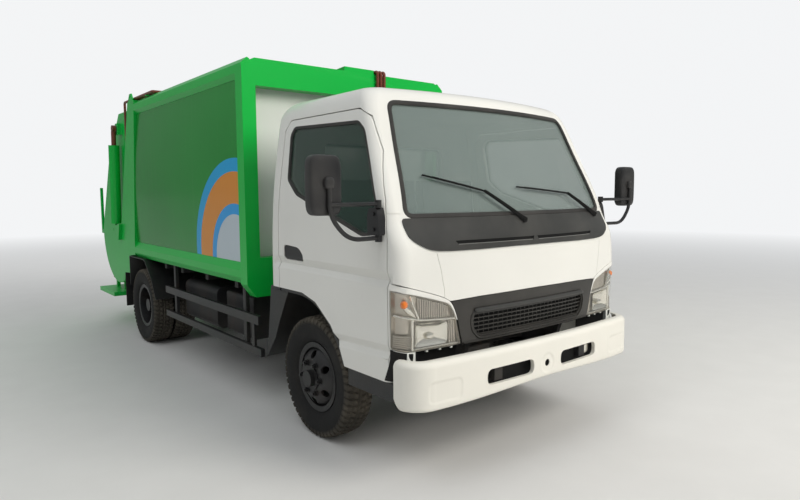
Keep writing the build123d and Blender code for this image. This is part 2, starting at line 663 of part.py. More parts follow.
for side, name in ((-1, "right"), (1, "left")):
    centre_x = FRONT_TRACK_HALF
    tyre = turned(tyre_profile, centre_x, 0.0)
    rim = turned(rim_profile, centre_x, 0.0) + wheel_disc(centre_x, 0.0, 1, HUB_RADIUS - 10)
    disc_x = centre_x + DISC_OUT
    rim += pin(disc_x - DISC_THICK - 60, disc_x + 8, 0.0, axle_z, HUB_RADIUS)
    rim += pin(disc_x, disc_x + 38, 0.0, axle_z, 52.0)
    rim += pin(762.0, 850.0, 0.0, axle_z, DRUM_RADIUS)
    rim += pin(840.0, disc_x - 20, 0.0, axle_z, HUB_RADIUS)
    rim -= pin(750.0, FRONT_TRACK_HALF + 95 + 2, 0.0, axle_z, SPINDLE_RADIUS + FIT)
    for node, shape in ((f"tyre_front_{name}", tyre), (f"wheel_front_{name}", rim)):
        keep(node, shape if side > 0 else mirror(shape, Plane.YZ))

for side, name in ((-1, "right"), (1, "left")):
    station = WHEELBASE
    tyres = [turned(tyre_profile, centre_x, station) for centre_x in (DUAL_OUTER, inner_wheel)]
    rim = turned(rim_profile, DUAL_OUTER, station) + wheel_disc(DUAL_OUTER, station, -1, HUB_RADIUS - 10)
    rim += turned(rim_profile, inner_wheel, station) + wheel_disc(inner_wheel, station, 1, HUB_RADIUS - 10)
    rim += pin(570.0, 700.0, station, axle_z, DRUM_RADIUS)
    rim += pin(690.0, DUAL_OUTER - 60, station, axle_z, HUB_RADIUS + 4)
    rim += pin(690.0, DUAL_OUTER + 50, station, axle_z, HUB_RADIUS - 14)
    rim -= pin(560.0, DUAL_OUTER + 42, station, axle_z, SPINDLE_RADIUS + FIT)
    for node, shape in ((f"tyres_rear_{name}", Compound(tyres)), (f"wheels_rear_{name}", rim)):
        keep(node, shape if side > 0 else mirror(shape, Plane.YZ))

# Engine with gearbox, radiator and propeller shaft
drive = block(-270, 270, -400, 480, 455, 865)
drive += block(-150, 150, 480, 1080, 455, 700)
drive += rod((0, 1080, 560), (0, WHEELBASE - 265, axle_z + 22), 38.0)
drive += block(-265, 265, -690, -620, 600, 865) + block(-60, 60, -620, -400, 620, 700)
for y in (0.0, 800.0):
    mount_x = RAIL_OUTER - RAIL_WALL - SEAT
    drive += block(-mount_x, mount_x, y - 40, y + 40, RAIL_LOW + 30, RAIL_LOW + 80)
keep("drivetrain", drive)

# Tanks and boxes hung on the rails
TANKS = (
    # side, outer x, first station, last station, low, high, corner radius
    (-1, 860.0, 1680.0, 2420.0, 400.0, 760.0, 60.0),
    (1, 860.0, 1100.0, 1850.0, 400.0, 780.0, 40.0),
    (-1, 850.0, 1000.0, 1500.0, 430.0, 760.0, 20.0),
)
tanks = []
for side, outer_x, y0, y1, z0, z1, corner in TANKS:
    tank = block(RAIL_OUTER + 90, outer_x, y0, y1, z0, z1)
    tank = fillet(tank.edges().filter_by(Axis.Y), corner)
    for y in (y0 + 120, y1 - 120):
        tank += block(RAIL_OUTER + SEAT, RAIL_OUTER + 120, y - 20, y + 20, RAIL_LOW + 20, RAIL_HIGH - 20)
    tanks.append(tank if side > 0 else mirror(tank, Plane.YZ))
keep("tanks", Compound(tanks))

# Side guards: two rails and posts on each side
guards = []
for side in (-1, 1):
    guard = block(930, 962, 700, 2680, 610, 675) + block(930, 962, 667, 2680, 383, 440)
    for y in (985.0, 2500.0):
        guard += block(900, 930, y - 25, y + 25, 395, BODY_SILL_LOW + 1.5)
    guard += block(936, 956, 780, 820, 430, 620)
    guards.append(guard if side > 0 else mirror(guard, Plane.YZ))
keep("side_guards", Compound(guards))

# Mudguards over the rear wheels, with a flap behind each hung from the rear post, and behind the front wheels
FLAP_STATION = 3960.0
FRONT_GUARD_FACE = ((580, 410), (452, 567), (379, 708), (290, 861), (244, 924))


def foot_z_at(y):
    """Height of the rear post's underside at a station."""
    share = (y - POST_FOOT_FRONT) / (FACE_FOOT[0] - POST_FOOT_FRONT)
    return POST_FOOT_LOW + share * (FACE_FOOT[1] - POST_FOOT_LOW)


guards = []
for side in (-1, 1):
    top = BODY_SILL_LOW - SEAT
    strip = across((
        (2925, 505), (3050, 705), (3240, 870), (3300, top), (3782, top), (3782, 560), (3774, 560),
        (3774, top - 9), (3304, top - 9), (3245, 862), (3056, 700), (2932, 500)), 560.0, 985.0)
    flap_top = foot_z_at(FLAP_STATION + 8) - SEAT
    flap = block(600.0, 985.0, FLAP_STATION, FLAP_STATION + 8, 300.0, flap_top)
    behind = tuple((y + 12, z) for y, z in reversed(FRONT_GUARD_FACE))
    front_guard = across(FRONT_GUARD_FACE + behind, 640.0, 955.0)
    front_guard += across(FRONT_GUARD_FACE + ((500, 924), (524, 780)), 945.0, 955.0)
    front_guard += block(RAIL_OUTER + SEAT, 660.0, 388.0, 420.0, RAIL_LOW + 120, RAIL_HIGH)
    for piece in (strip, flap, front_guard):
        guards.append(piece if side > 0 else mirror(piece, Plane.YZ))
keep("mudguards", Compound(guards))

# Body: frame of front hoop, sills, top rails and rear posts, with panels set in it

def face_y(z, gap=0.0):
    """Station of the leaning joint face at a height, moved back by gap."""
    share = (FACE_TOP[1] - z) / (FACE_TOP[1] - FACE_FOOT[1])
    return FACE_TOP[0] + share * (FACE_FOOT[0] - FACE_TOP[0]) + gap


inner_half = BODY_HALF - HOOP_WIDE
hoop_outline = (
    (-BODY_HALF, BODY_SILL_LOW), (-BODY_HALF, 2470), (-868, BODY_TOP), (868, BODY_TOP), (BODY_HALF, 2470),
    (BODY_HALF, BODY_SILL_LOW), (BODY_HALF - 70, HOOP_LOW), (-BODY_HALF + 70, HOOP_LOW))
hoop = along(hoop_outline, BODY_FRONT, BODY_FRONT + HOOP_DEEP)
hoop_rear = BODY_FRONT + HOOP_DEEP
hoop -= block(-inner_half, inner_half, BODY_FRONT - 10, hoop_rear + 10, FLOOR_TOP + 150, BEAM_LOW)
hump = across(((BODY_FRONT, BODY_TOP - 20), (BODY_FRONT, BODY_TOP + 34), (BODY_FRONT + 420, BODY_TOP + 10),
               (BODY_FRONT + 420, BODY_TOP - 20)), -90.0, 200.0)
sill_section = (
    (BODY_HALF - 75, BODY_SILL_LOW + 10), (BODY_HALF - 75, BODY_SILL_HIGH), (BODY_HALF - 30, BODY_SILL_HIGH),
    (BODY_HALF, 985.0), (BODY_HALF, 930.0), (BODY_HALF - 30, BODY_SILL_LOW))
rail_section = (
    (BODY_HALF - 70, TOP_RAIL_LOW), (BODY_HALF - 70, BODY_TOP - 8), (BODY_HALF - 50, BODY_TOP),
    (BODY_HALF, 2480.0), (BODY_HALF, 2420.0), (BODY_HALF - 30, TOP_RAIL_LOW))
sill = along(sill_section, BODY_FRONT + 10, 3900.0)
top_rail = along(rail_section, BODY_FRONT + 10, 3560.0)
post = across((
    (POST_TOP_FRONT, BODY_TOP), FACE_TOP, FACE_FOOT, (POST_FOOT_FRONT, POST_FOOT_LOW),
    (POST_FOOT_FRONT, BODY_SILL_LOW), (POST_SILL_FRONT, BODY_SILL_LOW + 20),
    (POST_SILL_FRONT, BODY_SILL_HIGH)), BODY_HALF - POST_WIDE, BODY_HALF)
members = sill + top_rail + post
rear_beam = across((
    (face_y(BODY_TOP) - 140, BODY_TOP), (face_y(BODY_TOP), BODY_TOP), (face_y(2400.0), 2400.0),
    (face_y(2400.0) - 140, 2400.0)), -BODY_HALF + 30, BODY_HALF - 30)
rear_sill = across((
    (face_y(FLOOR_TOP) - 160, FLOOR_TOP), (face_y(FLOOR_TOP), FLOOR_TOP), (face_y(820.0), 820.0),
    (face_y(FLOOR_TOP) - 160, 820.0)), -BODY_HALF + 30, BODY_HALF - 30)
body_frame = hoop + hump + members + mirror(members, Plane.YZ) + rear_beam + rear_sill
for side in (-1, 1):
    for x in (620.0, 760.0):
        ear = across(((3560, BODY_TOP - 10), (3560, BODY_TOP + 20), (HINGE[0] - 20, HINGE[1] + 36),
                      (HINGE[0] + 20, HINGE[1] - 36), (face_y(BODY_TOP) - 2, BODY_TOP - 10)), x - 10, x + 10)
        ear += pin(x - 10, x + 10, HINGE[0], HINGE[1], HINGE_RADIUS)
        ear -= pin(x - 12, x + 12, HINGE[0], HINGE[1], HINGE_PIN + FIT)
        body_frame += ear if side > 0 else mirror(ear, Plane.YZ)
    foot_y, foot_z = LIFT_FOOT
    base = across(((face_y(foot_z + 70) - 40, foot_z + 70), (face_y(foot_z + 70) + 40, foot_z + 70),
                   (face_y(foot_z - 110) + 40, foot_z - 110), (face_y(foot_z - 110) - 40, foot_z - 110)),
                  LIFT_X - 34, LIFT_X + 34)
    body_frame += base if side > 0 else mirror(base, Plane.YZ)
    for x0, x1 in ((LIFT_X - 34, LIFT_X - 20), (LIFT_X + 20, LIFT_X + 34)):
        cheek = across(((face_y(foot_z + 70) - 40, foot_z + 70), (foot_y, foot_z + 45), (foot_y + 45, foot_z),
                        (foot_y, foot_z - 45), (face_y(foot_z - 110) - 40, foot_z - 110)), x0, x1)
        cheek -= pin(x0 - 1, x1 + 1, foot_y, foot_z, HINGE_PIN + FIT)
        body_frame += cheek if side > 0 else mirror(cheek, Plane.YZ)
clip_reach = PIPE_PITCH * (PIPES - 1) + 2 * PIPE_RADIUS
clip_x = 222.0 - PIPE_RADIUS
clip_high = BODY_TOP + PIPE_STAND
body_frame += block(clip_x, clip_x + clip_reach, BODY_FRONT + 30, BODY_FRONT + 70, BODY_TOP - 1, clip_high)
for z in (BEAM_LOW + 40, BODY_TOP - 60):
    body_frame += block(clip_x, clip_x + clip_reach, BODY_FRONT - PIPE_STAND, BODY_FRONT + 1, z - 12, z + 12)
clip_x = PIPE_EDGE - PIPE_RADIUS
for y in (3080.0, 3500.0):
    body_frame += block(clip_x, clip_x + clip_reach, y - 15, y + 15, BODY_TOP - 1, clip_high)
clip_y = face_y(2180.0)
body_frame += block(clip_x, PIPE_EDGE + PIPE_RADIUS, clip_y - 10, PIPE_DROP - PIPE_RADIUS - SEAT, 2170, 2190)
eye_plate = across(((3460, 2500), (3460, 2550), (3500, 2600), (3560, 2600), (3600, 2550), (3600, 2500)),
                   BODY_HALF - 12, BODY_HALF)
eye_plate -= pin(BODY_HALF - 13, BODY_HALF + 1, 3530.0, 2564.0, 18.0)
body_frame += eye_plate + mirror(eye_plate, Plane.YZ)
keep("body_frame", body_frame)

panel_x = BODY_HALF - 70 - SEAT
y0 = BODY_FRONT + HOOP_DEEP + SEAT
post_slope = (POST_SILL_FRONT - POST_TOP_FRONT) / (BODY_TOP - BODY_SILL_HIGH)
side_outline = (
    (y0, BODY_SILL_HIGH + SEAT), (y0, TOP_RAIL_LOW - SEAT),
    (POST_TOP_FRONT + post_slope * (BODY_TOP - TOP_RAIL_LOW) - 2 * SEAT, TOP_RAIL_LOW - SEAT),
    (POST_SILL_FRONT - 2 * SEAT, BODY_SILL_HIGH + SEAT))
bulge = make_face([
    ThreePointArc((940, 1041), (962, 1700), (940, 2385)), Line((940, 2385), (910, 2385)),
    Line((910, 2385), (910, 1041)), Line((910, 1041), (940, 1041))])
bulge_bar = extrude(Plane.XZ.offset(-y0) * bulge, amount=3000.0, dir=(0, 1, 0))
side_panel = bulge_bar & across(side_outline, 900.0, 1000.0)
panels = [side_panel, mirror(side_panel, Plane.YZ)]
keep("body_sides", Compound(panels))

roof_half = BODY_HALF - 70 - SEAT
roof = block(-roof_half, roof_half, BODY_FRONT + HOOP_DEEP + SEAT, face_y(BODY_TOP) - 140 - SEAT,
             BODY_TOP - 8 - WALL, BODY_TOP - 8)
roof -= block(-92, 202, 0, BODY_FRONT + 424, BODY_TOP - 42, BODY_TOP)
clip_x = 222.0 - PIPE_RADIUS
for y in (1400.0, 2100.0, 2800.0):
    roof += block(clip_x, clip_x + clip_reach, y - 15, y + 15, BODY_TOP - 9, clip_high)
keep("body_roof", roof)

floor_half = BODY_HALF - 75 - SEAT
front_wall = block(-floor_half, floor_half, FRONT_WALL, FRONT_WALL + WALL, FLOOR_TOP + SEAT,
                   BODY_TOP - 8 - WALL - SEAT)
keep("body_front_wall", front_wall)

floor = block(-floor_half, floor_half, BODY_FRONT + HOOP_DEEP + SEAT, face_y(FLOOR_TOP) - 160 - SEAT,
              FLOOR_TOP - FLOOR_THICK, FLOOR_TOP)
FLOOR_BEARERS = (
    (1200.0, floor_half), (1800.0, floor_half), (2400.0, floor_half), (2850.0, floor_half), (3500.0, 540.0))
for y, half in FLOOR_BEARERS:
    floor += block(-half, half, y - 30, y + 30, FLOOR_TOP - FLOOR_THICK - 80, FLOOR_TOP - FLOOR_THICK)
sub_sill = block(RAIL_OUTER - RAIL_WIDTH, RAIL_OUTER, 1000, 3950, RAIL_HIGH + SEAT, FLOOR_TOP - FLOOR_THICK)
floor = floor + sub_sill + mirror(sub_sill, Plane.YZ)
keep("body_floor", floor)

# Ejector panel at the front end of the load space
eject_half = 880.0
eject_foot = FLOOR_TOP + SEAT
ejector = across(((1060, eject_foot), (1060, 2380), (1090, 2380), (1330, 1500), (1480, eject_foot)),
                 -eject_half, eject_half)
ejector -= across(((1040, FLOOR_TOP - 40), (1040, 2340), (1078, 2340), (1300, 1490), (1440, FLOOR_TOP - 40)),
                  -eject_half + 40, eject_half - 40)
keep("ejector_panel", ejector)

# Hydraulic pipes: up the front, along the roof, over to its edge and the rear corner
pipes = []
for i in range(PIPES):
    x = 222.0 + PIPE_PITCH * i
    edge_x = PIPE_EDGE + PIPE_PITCH * i
    top = BODY_TOP + PIPE_STAND + PIPE_RADIUS + SEAT
    front_y = BODY_FRONT - PIPE_STAND - PIPE_RADIUS - SEAT
    turn_y = PIPE_TURN + PIPE_PITCH * i
    runs = [(x, front_y, 1800.0), (x, front_y, top), (x, turn_y, top), (edge_x, turn_y, top)]
    runs += [(edge_x, PIPE_DROP, top), (edge_x, PIPE_DROP, 2100.0)] if i == 0 else [(edge_x, 3600.0, top)]
    pipes.append(bent_tube(runs, PIPE_RADIUS, 1.6 * PIPE_RADIUS))
junction = block(PIPE_EDGE + 18, PIPE_EDGE + 86, 3585, 3630, BODY_TOP + SEAT, BODY_TOP + 46)
pipes = [pipes[0], pipes[1] + pipes[2] + junction]
keep("hydraulic_pipes", Compound(pipes))

# Tailgate
lean = math.atan2(FACE_FOOT[0] - FACE_TOP[0], FACE_TOP[1] - FACE_FOOT[1])
UP = (-math.sin(lean), math.cos(lean))
BACK = (math.cos(lean), math.sin(lean))
PIVOT_HIGH = (PIVOT_LOW[0] + STROKE * UP[0], PIVOT_LOW[1] + STROKE * UP[1])


def on_carrier(back, up):
    """A point given behind and above the blade's pivot along the carrier, as station and height."""
    return (PIVOT_HIGH[0] + back * BACK[0] + up * UP[0], PIVOT_HIGH[1] + back * BACK[1] + up * UP[1])


belly_outer = BELLY_INNER + BELLY_WALL
py, pz = PIVOT_LOW
front_angle = math.radians(248.0)
foot = (py + belly_outer * math.cos(front_angle), pz + belly_outer * math.sin(front_angle))
front_low = (face_y(foot[1], FACE_GAP), foot[1])


def gate_face(radius):
    """The outline of the tailgate seen from the side, with the round hopper floor."""
    start = (py + radius * math.cos(front_angle), pz + radius * math.sin(front_angle))
    mid_angle = math.radians(300.0)
    mid = (py + radius * math.cos(mid_angle), pz + radius * math.sin(mid_angle))
    end = (py + radius, pz)
    corner = (face_y(start[1], FACE_GAP), start[1])
    top = (face_y(ROOF_HIGH, FACE_GAP), ROOF_HIGH)
    return make_face([
        Line(top, corner), Line(corner, start), ThreePointArc(start, mid, end),
        Line(end, (py + radius, SILL_Z)), Line((py + radius, SILL_Z), LIP),
        Line(LIP, (GATE_ROOF_REAR, ROOF_HIGH)), Line((GATE_ROOF_REAR, ROOF_HIGH), top)])


side_plate = extrude(
    Plane.YZ.offset(GATE_HALF - GATE_WALL) * gate_face(belly_outer), amount=GATE_WALL, dir=(1, 0, 0))
for b0, b1 in ((-126.0, -101.0), (5.0, 30.0)):
    corners = [on_carrier(b0, -380), on_carrier(b1, -380), on_carrier(b1, 735), on_carrier(b0, 735)]
    side_plate += across(corners, GATE_HALF - GATE_WALL - 20, GATE_HALF - GATE_WALL + 1)
eye_y, eye_z = LIFT_EYE
ear = across(((eye_y - 60, eye_z - 70), (eye_y - 60, eye_z + 60), (eye_y + 40, eye_z + 60),
              (eye_y + 40, eye_z - 70)), GATE_HALF - 1, LIFT_X - 27)
side_plate += ear
grab = block(GATE_HALF - GATE_WALL, GATE_HALF, 5150, 5300, 1060, 1110)
grab += block(GATE_HALF - GATE_WALL - 10, GATE_HALF, 5262, 5300, 1060, 1640)
side_plate += grab
keep("tailgate_sides", Compound([side_plate, mirror(side_plate, Plane.YZ)]))

inner_gate = GATE_HALF - GATE_WALL - SEAT
roof_front = face_y(ROOF_HIGH, FACE_GAP)
top_plate = across((
    (roof_front, ROOF_HIGH), (GATE_ROOF_REAR, ROOF_HIGH), LIP, (LIP[0] - 22, LIP[1] - 2),
    (GATE_ROOF_REAR - 12, ROOF_HIGH - 20), (roof_front, ROOF_HIGH - 20)), -inner_gate, inner_gate)
for side in (-1, 1):
    for x in (640.0, 740.0):
        lug = across(((HINGE[0] - 30, HINGE[1] - 30), (HINGE[0] + 30, HINGE[1] + 30),
                      (HINGE[0] + 190, ROOF_HIGH - 5), (HINGE[0] - 20, ROOF_HIGH - 5)), x - 9, x + 9)
        lug += pin(x - 9, x + 9, HINGE[0], HINGE[1], HINGE_RADIUS)
        top_plate += lug if side > 0 else mirror(lug, Plane.YZ)
    shaft = pin(600, 780, HINGE[0], HINGE[1], HINGE_PIN)
    top_plate += shaft if side > 0 else mirror(shaft, Plane.YZ)
for side in (-1, 1):
    x = side * SLIDE_X
    front, back = on_carrier(ROD_PLANE - 34, 800), on_carrier(ROD_PLANE + 34, 800)
    corners = [front, back, (back[0], ROOF_HIGH - 17), (front[0], ROOF_HIGH - 10)]
    top_plate += across(corners, x - 25, x + 25)
keep("tailgate_roof", top_plate)


def belly_under(y):
    """Height of the hopper floor's underside at a station."""
    return pz - math.sqrt(belly_outer ** 2 - (y - py) ** 2)


SILL_DEEP = 60.0
SILL_WIDE = 50.0
ramp_top = (face_y(FLOOR_TOP - 12, FACE_GAP), FLOOR_TOP - 12)


def on_belly(radius, angle):
    """A point of the round hopper floor, by its radius and angle about the low pivot."""
    return (py + radius * math.cos(angle), pz + radius * math.sin(angle))


sill_under = math.asin((SILL_Z - SILL_DEEP - pz) / belly_outer) + 2 * math.pi
inner_arc = [on_belly(BELLY_INNER, a) for a in (front_angle, math.radians(300), 2 * math.pi)]
outer_arc = [on_belly(belly_outer, a) for a in (sill_under, math.radians(300), front_angle)]
hopper_face = make_face([
    Line(ramp_top, (ramp_top[0] + 16, ramp_top[1])), Line((ramp_top[0] + 16, ramp_top[1]), inner_arc[0]),
    ThreePointArc(*inner_arc), Line(inner_arc[2], (py + BELLY_INNER, SILL_Z)),
    Line((py + BELLY_INNER, SILL_Z), (py + BELLY_INNER + SILL_WIDE, SILL_Z)),
    Line((py + BELLY_INNER + SILL_WIDE, SILL_Z), (py + BELLY_INNER + SILL_WIDE, SILL_Z - SILL_DEEP)),
    Line((py + BELLY_INNER + SILL_WIDE, SILL_Z - SILL_DEEP), outer_arc[0]), ThreePointArc(*outer_arc),
    Line(outer_arc[2], front_low), Line(front_low, ramp_top)])
belly = extrude(Plane.YZ.offset(-inner_gate) * hopper_face, amount=2 * inner_gate, dir=(1, 0, 0))
for side in (-1, 1):
    for x in (620.0, 680.0):
        lifter_y, lifter_z = LIFTER_PIVOT
        bracket = across(((py + BELLY_INNER + 20, SILL_Z - 5), (py + BELLY_INNER + 50, SILL_Z - 5),
                          (lifter_y + 34, lifter_z + 20), (lifter_y + 34, lifter_z - 34),
                          (py + BELLY_INNER + 20, lifter_z - 34)), x - 9, x + 9)
        bracket -= pin(x - 10, x + 10, *LIFTER_PIVOT, LIFTER_SHAFT + FIT)
        belly += bracket if side > 0 else mirror(bracket, Plane.YZ)
keep("hopper", belly)

# Packing blade: carrier, blade and their cylinders

def carrier_block(b0, b1, u0, u1, x0, x1):
    """A box on the carrier, by distances behind and above the pivot."""
    return across([on_carrier(b0, u0), on_carrier(b1, u0), on_carrier(b1, u1), on_carrier(b0, u1)], x0, x1)


carrier = carrier_block(-98, -6, 70, CARRIER_HIGH, -CARRIER_HALF, CARRIER_HALF)
for side in (-1, 1):
    for u0, u1 in ((150, 300), (560, 710)):
        x0, x1 = sorted((side * (CARRIER_HALF - 5), side * (GATE_HALF - GATE_WALL - 5)))
        carrier += carrier_block(-96, 0, u0, u1, x0, x1)
    for x in (200.0, 520.0, 790.0):
        knuckle = carrier_block(-60, 20, 0, 90, side * x - 20, side * x + 20)
        knuckle += pin(side * x - 20, side * x + 20, *PIVOT_HIGH, 52.0)
        knuckle -= pin(side * x - 22, side * x + 22, *PIVOT_HIGH, 25.0 + FIT)
        carrier += knuckle
    x = side * SWEEP_X
    for dx in (-34, 34):
        ear = carrier_block(-10, ROD_PLANE + 34, 660, 740, x + dx - 8, x + dx + 8)
        ear -= pin(x + dx - 10, x + dx + 10, *on_carrier(ROD_PLANE, 700), 15.0 + FIT)
        carrier += ear
    x = side * SLIDE_X
    carrier += carrier_block(-10, ROD_PLANE + 26, 60, 110, x - 26, x + 26)
keep("packer_carrier", carrier)

slide_rods, slide_barrels = [], []
for side in (-1, 1):
    x = side * SLIDE_X
    y0, z0 = on_carrier(ROD_PLANE, 110)
    y1, z1 = on_carrier(ROD_PLANE, 700)
    slide_rods.append(rod((x, y0, z0), (x, y1, z1), ROD_RADIUS))
    b0, b1 = on_carrier(ROD_PLANE, 130), on_carrier(ROD_PLANE, 800)
    barrel = rod((x, *b0), (x, *b1), BARREL_RADIUS)
    barrel -= rod((x, *on_carrier(ROD_PLANE, 125)), (x, *on_carrier(ROD_PLANE, 720)), ROD_RADIUS + FIT)
    slide_barrels.append(barrel)
keep("slide_rods", Compound(slide_rods))
keep("slide_barrels", Compound(slide_barrels))

# The blade hangs from the pivot and leans forward at rest
lean_blade = math.radians(BLADE_LEAN)
TIP = (-math.sin(lean_blade), -math.cos(lean_blade))
REAR = (math.cos(lean_blade), -math.sin(lean_blade))


def on_blade(out, behind):
    """A point on the blade, by distances from the pivot to the tip and behind its middle."""
    return (PIVOT_HIGH[0] + out * TIP[0] + behind * REAR[0], PIVOT_HIGH[1] + out * TIP[1] + behind * REAR[1])


blade_half = 848.0
blade_outline = [on_blade(60, -45), on_blade(60, 45), on_blade(330, 60), on_blade(BLADE_REACH - 8, 10),
                 on_blade(BLADE_REACH - 8, -14), on_blade(420, -30)]
blade = across(blade_outline, -blade_half, blade_half)
for side in (-1, 1):
    for x in (155.0, 475.0, 838.0):
        width = 20.0 if x < 800 else 10.0
        collar = across([on_blade(80, -45), on_blade(80, 45), on_blade(0, 45), on_blade(0, -45)],
                        side * x - width, side * x + width)
        collar += pin(side * x - width, side * x + width, *PIVOT_HIGH, 45.0)
        blade += collar
    blade += pin(*sorted((side * 130, side * 846)), *PIVOT_HIGH, 25.0)
LEVER_OUT, LEVER_BACK = 60.0, 190.0
lever_eye = on_blade(LEVER_OUT, LEVER_BACK)
for side in (-1, 1):
    x = side * SWEEP_X
    for dx in (-34, 34):
        lever = across([
            on_blade(70, 30), on_blade(LEVER_OUT - 30, LEVER_BACK), on_blade(LEVER_OUT, LEVER_BACK + 30),
            on_blade(LEVER_OUT + 30, LEVER_BACK), on_blade(260, 40)], x + dx - 8, x + dx + 8)
        blade += lever
keep("sweep_blade", blade)


def cylinder_pair(foot_point, eye_point, x, radius, rod_radius, share):
    """Barrel and rod of one cylinder between two pins."""
    foot_v, eye_v = Vector(x, *foot_point), Vector(x, *eye_point)
    run = (eye_v - foot_v).normalized()
    length = (eye_v - foot_v).length
    top = foot_v + run * (length * share)
    barrel = rod(foot_v + run * 62, top, radius) + rod(foot_v, foot_v + run * 70, 20.0)
    barrel += pin(x - 24, x + 24, foot_v.Y, foot_v.Z, 30.0)
    barrel -= rod(foot_v + run * 72, top + run * 5, rod_radius + FIT)
    shaft = rod(foot_v + run * (length - 480), eye_v - run * 20, rod_radius)
    shaft += pin(x - 20, x + 20, eye_v.Y, eye_v.Z, 26.0)
    return barrel, shaft


barrels, rods = [], []
for side in (-1, 1):
    x = side * SWEEP_X
    barrel, shaft = cylinder_pair(
        on_carrier(ROD_PLANE, 700), lever_eye, x, BARREL_RADIUS - 4, ROD_RADIUS - 2, 0.5)
    barrel += pin(x - 44, x + 44, *on_carrier(ROD_PLANE, 700), 15.0)
    barrels.append(barrel)
    rods.append(shaft)
keep("sweep_barrels", Compound(barrels))
keep("sweep_rods", Compound(rods))

# Lift cylinders beside the tailgate, from the body's rear posts
barrels, rods = [], []
for side in (-1, 1):
    x = side * LIFT_X
    foot_v, eye_v = Vector(x, *LIFT_FOOT), Vector(x, *LIFT_EYE)
    run = (eye_v - foot_v).normalized()
    barrel = rod(foot_v + run * 72, foot_v + run * 965, LIFT_RADIUS)
    barrel += rod(foot_v, foot_v + run * 80, 18.0)
    barrel += pin(x - 18, x + 18, foot_v.Y, foot_v.Z, 40.0)
    barrel += pin(x - 36, x + 36, foot_v.Y, foot_v.Z, HINGE_PIN)
    barrel -= rod(foot_v + run * 120, foot_v + run * 970, ROD_RADIUS + 6 + FIT)
    shaft = rod(foot_v + run * 150, eye_v - run * 30, ROD_RADIUS + 6)
    shaft += pin(x - 18, x + 18, eye_v.Y, eye_v.Z, 38.0)
    barrels.append(barrel)
    rods.append(shaft)
keep("lift_barrels", Compound(barrels))
keep("lift_rods", Compound(rods))

# Bin lifter on the hopper sill
lifter = pin(-700, 700, *LIFTER_PIVOT, LIFTER_SHAFT)
for side in (-1, 1):
    arm_outline = (
        (5310, 1060), (5350, 1060), (5430, 960), (5430, 720), (5400, 700), (5380, 720), (5380, 940))
    arm = across(arm_outline, 520, 560)
    arm += block(500, 580, 5380, REAR_END, 700, 740)
    lifter += arm if side > 0 else mirror(arm, Plane.YZ)
lifter += block(-560, 560, 5395, 5425, 880, 960) + block(-560, 560, 5395, 5425, 720, 780)
keep("bin_lifter", lifter)

# Foot steps and lamps at the rear
steps = []
for side in (-1, 1):
    step = block(700, 1005, 4400, 5060, 352, 400)
    for y in (4560.0, 4900.0):
        under = min(belly_under(y), belly_under(y + 20), belly_under(y + 40))
        step += block(800, 840, y, y + 40, 390, under - SEAT)
    steps.append(step if side > 0 else mirror(step, Plane.YZ))
keep("foot_steps", Compound(steps))

lamps = []
for side in (-1, 1):
    lamp = block(560, 840, 4995, 5050, 500, 600)
    for x in (600.0, 780.0):
        lamp += block(x - 20, x + 20, 4975, 4996, 560, belly_under(4975) - SEAT)
    lamps.append(lamp if side > 0 else mirror(lamp, Plane.YZ))
keep("tail_lamps", Compound(lamps))
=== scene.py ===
"""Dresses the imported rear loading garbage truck: smooth cab skin, glass, lamps, tyres, paint and studio."""

import json
import math

import bmesh
import bpy
import numpy as np
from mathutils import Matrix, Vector


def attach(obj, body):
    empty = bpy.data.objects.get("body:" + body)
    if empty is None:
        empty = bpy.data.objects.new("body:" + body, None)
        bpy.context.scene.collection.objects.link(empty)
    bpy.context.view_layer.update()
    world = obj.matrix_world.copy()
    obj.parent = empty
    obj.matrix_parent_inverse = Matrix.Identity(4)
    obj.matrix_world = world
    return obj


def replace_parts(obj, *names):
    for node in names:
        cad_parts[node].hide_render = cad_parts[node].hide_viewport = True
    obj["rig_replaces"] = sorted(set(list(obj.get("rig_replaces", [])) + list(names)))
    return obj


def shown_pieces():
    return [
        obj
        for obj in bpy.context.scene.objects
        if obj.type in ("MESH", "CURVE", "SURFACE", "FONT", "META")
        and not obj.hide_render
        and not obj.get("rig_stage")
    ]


bl_info = {
    "name": "Garbage truck look",
    "version": (1, 0, 0),
    "blender": (4, 5, 0),
    "location": "View3D > Sidebar > Truck",
    "description": "Dresses the packed garbage truck with smooth panels, glass, tyres and paint",
    "category": "Object",
}

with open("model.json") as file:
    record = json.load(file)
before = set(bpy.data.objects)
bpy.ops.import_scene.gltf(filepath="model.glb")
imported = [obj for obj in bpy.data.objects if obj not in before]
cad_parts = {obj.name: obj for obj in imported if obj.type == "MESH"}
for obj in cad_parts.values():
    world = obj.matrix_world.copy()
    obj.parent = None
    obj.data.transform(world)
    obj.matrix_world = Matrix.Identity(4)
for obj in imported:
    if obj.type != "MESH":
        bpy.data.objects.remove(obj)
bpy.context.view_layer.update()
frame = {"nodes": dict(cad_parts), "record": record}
BODY_OF = {node: body for body, nodes in frame["record"]["behaviour"]["bodies"].items() for node in nodes}
SLOT_OF = {part["node"]: part["material_slot"] for part in frame["record"]["subparts"]}
SIDES = ((-1, "right"), (1, "left"))

# Stations are metres behind the front axle, which is this far ahead of the frame's origin
AXLE = 2.165
WHEELBASE = 3.35
HUB_HEIGHT = 0.3875
TYRE_RADIUS = 0.3875

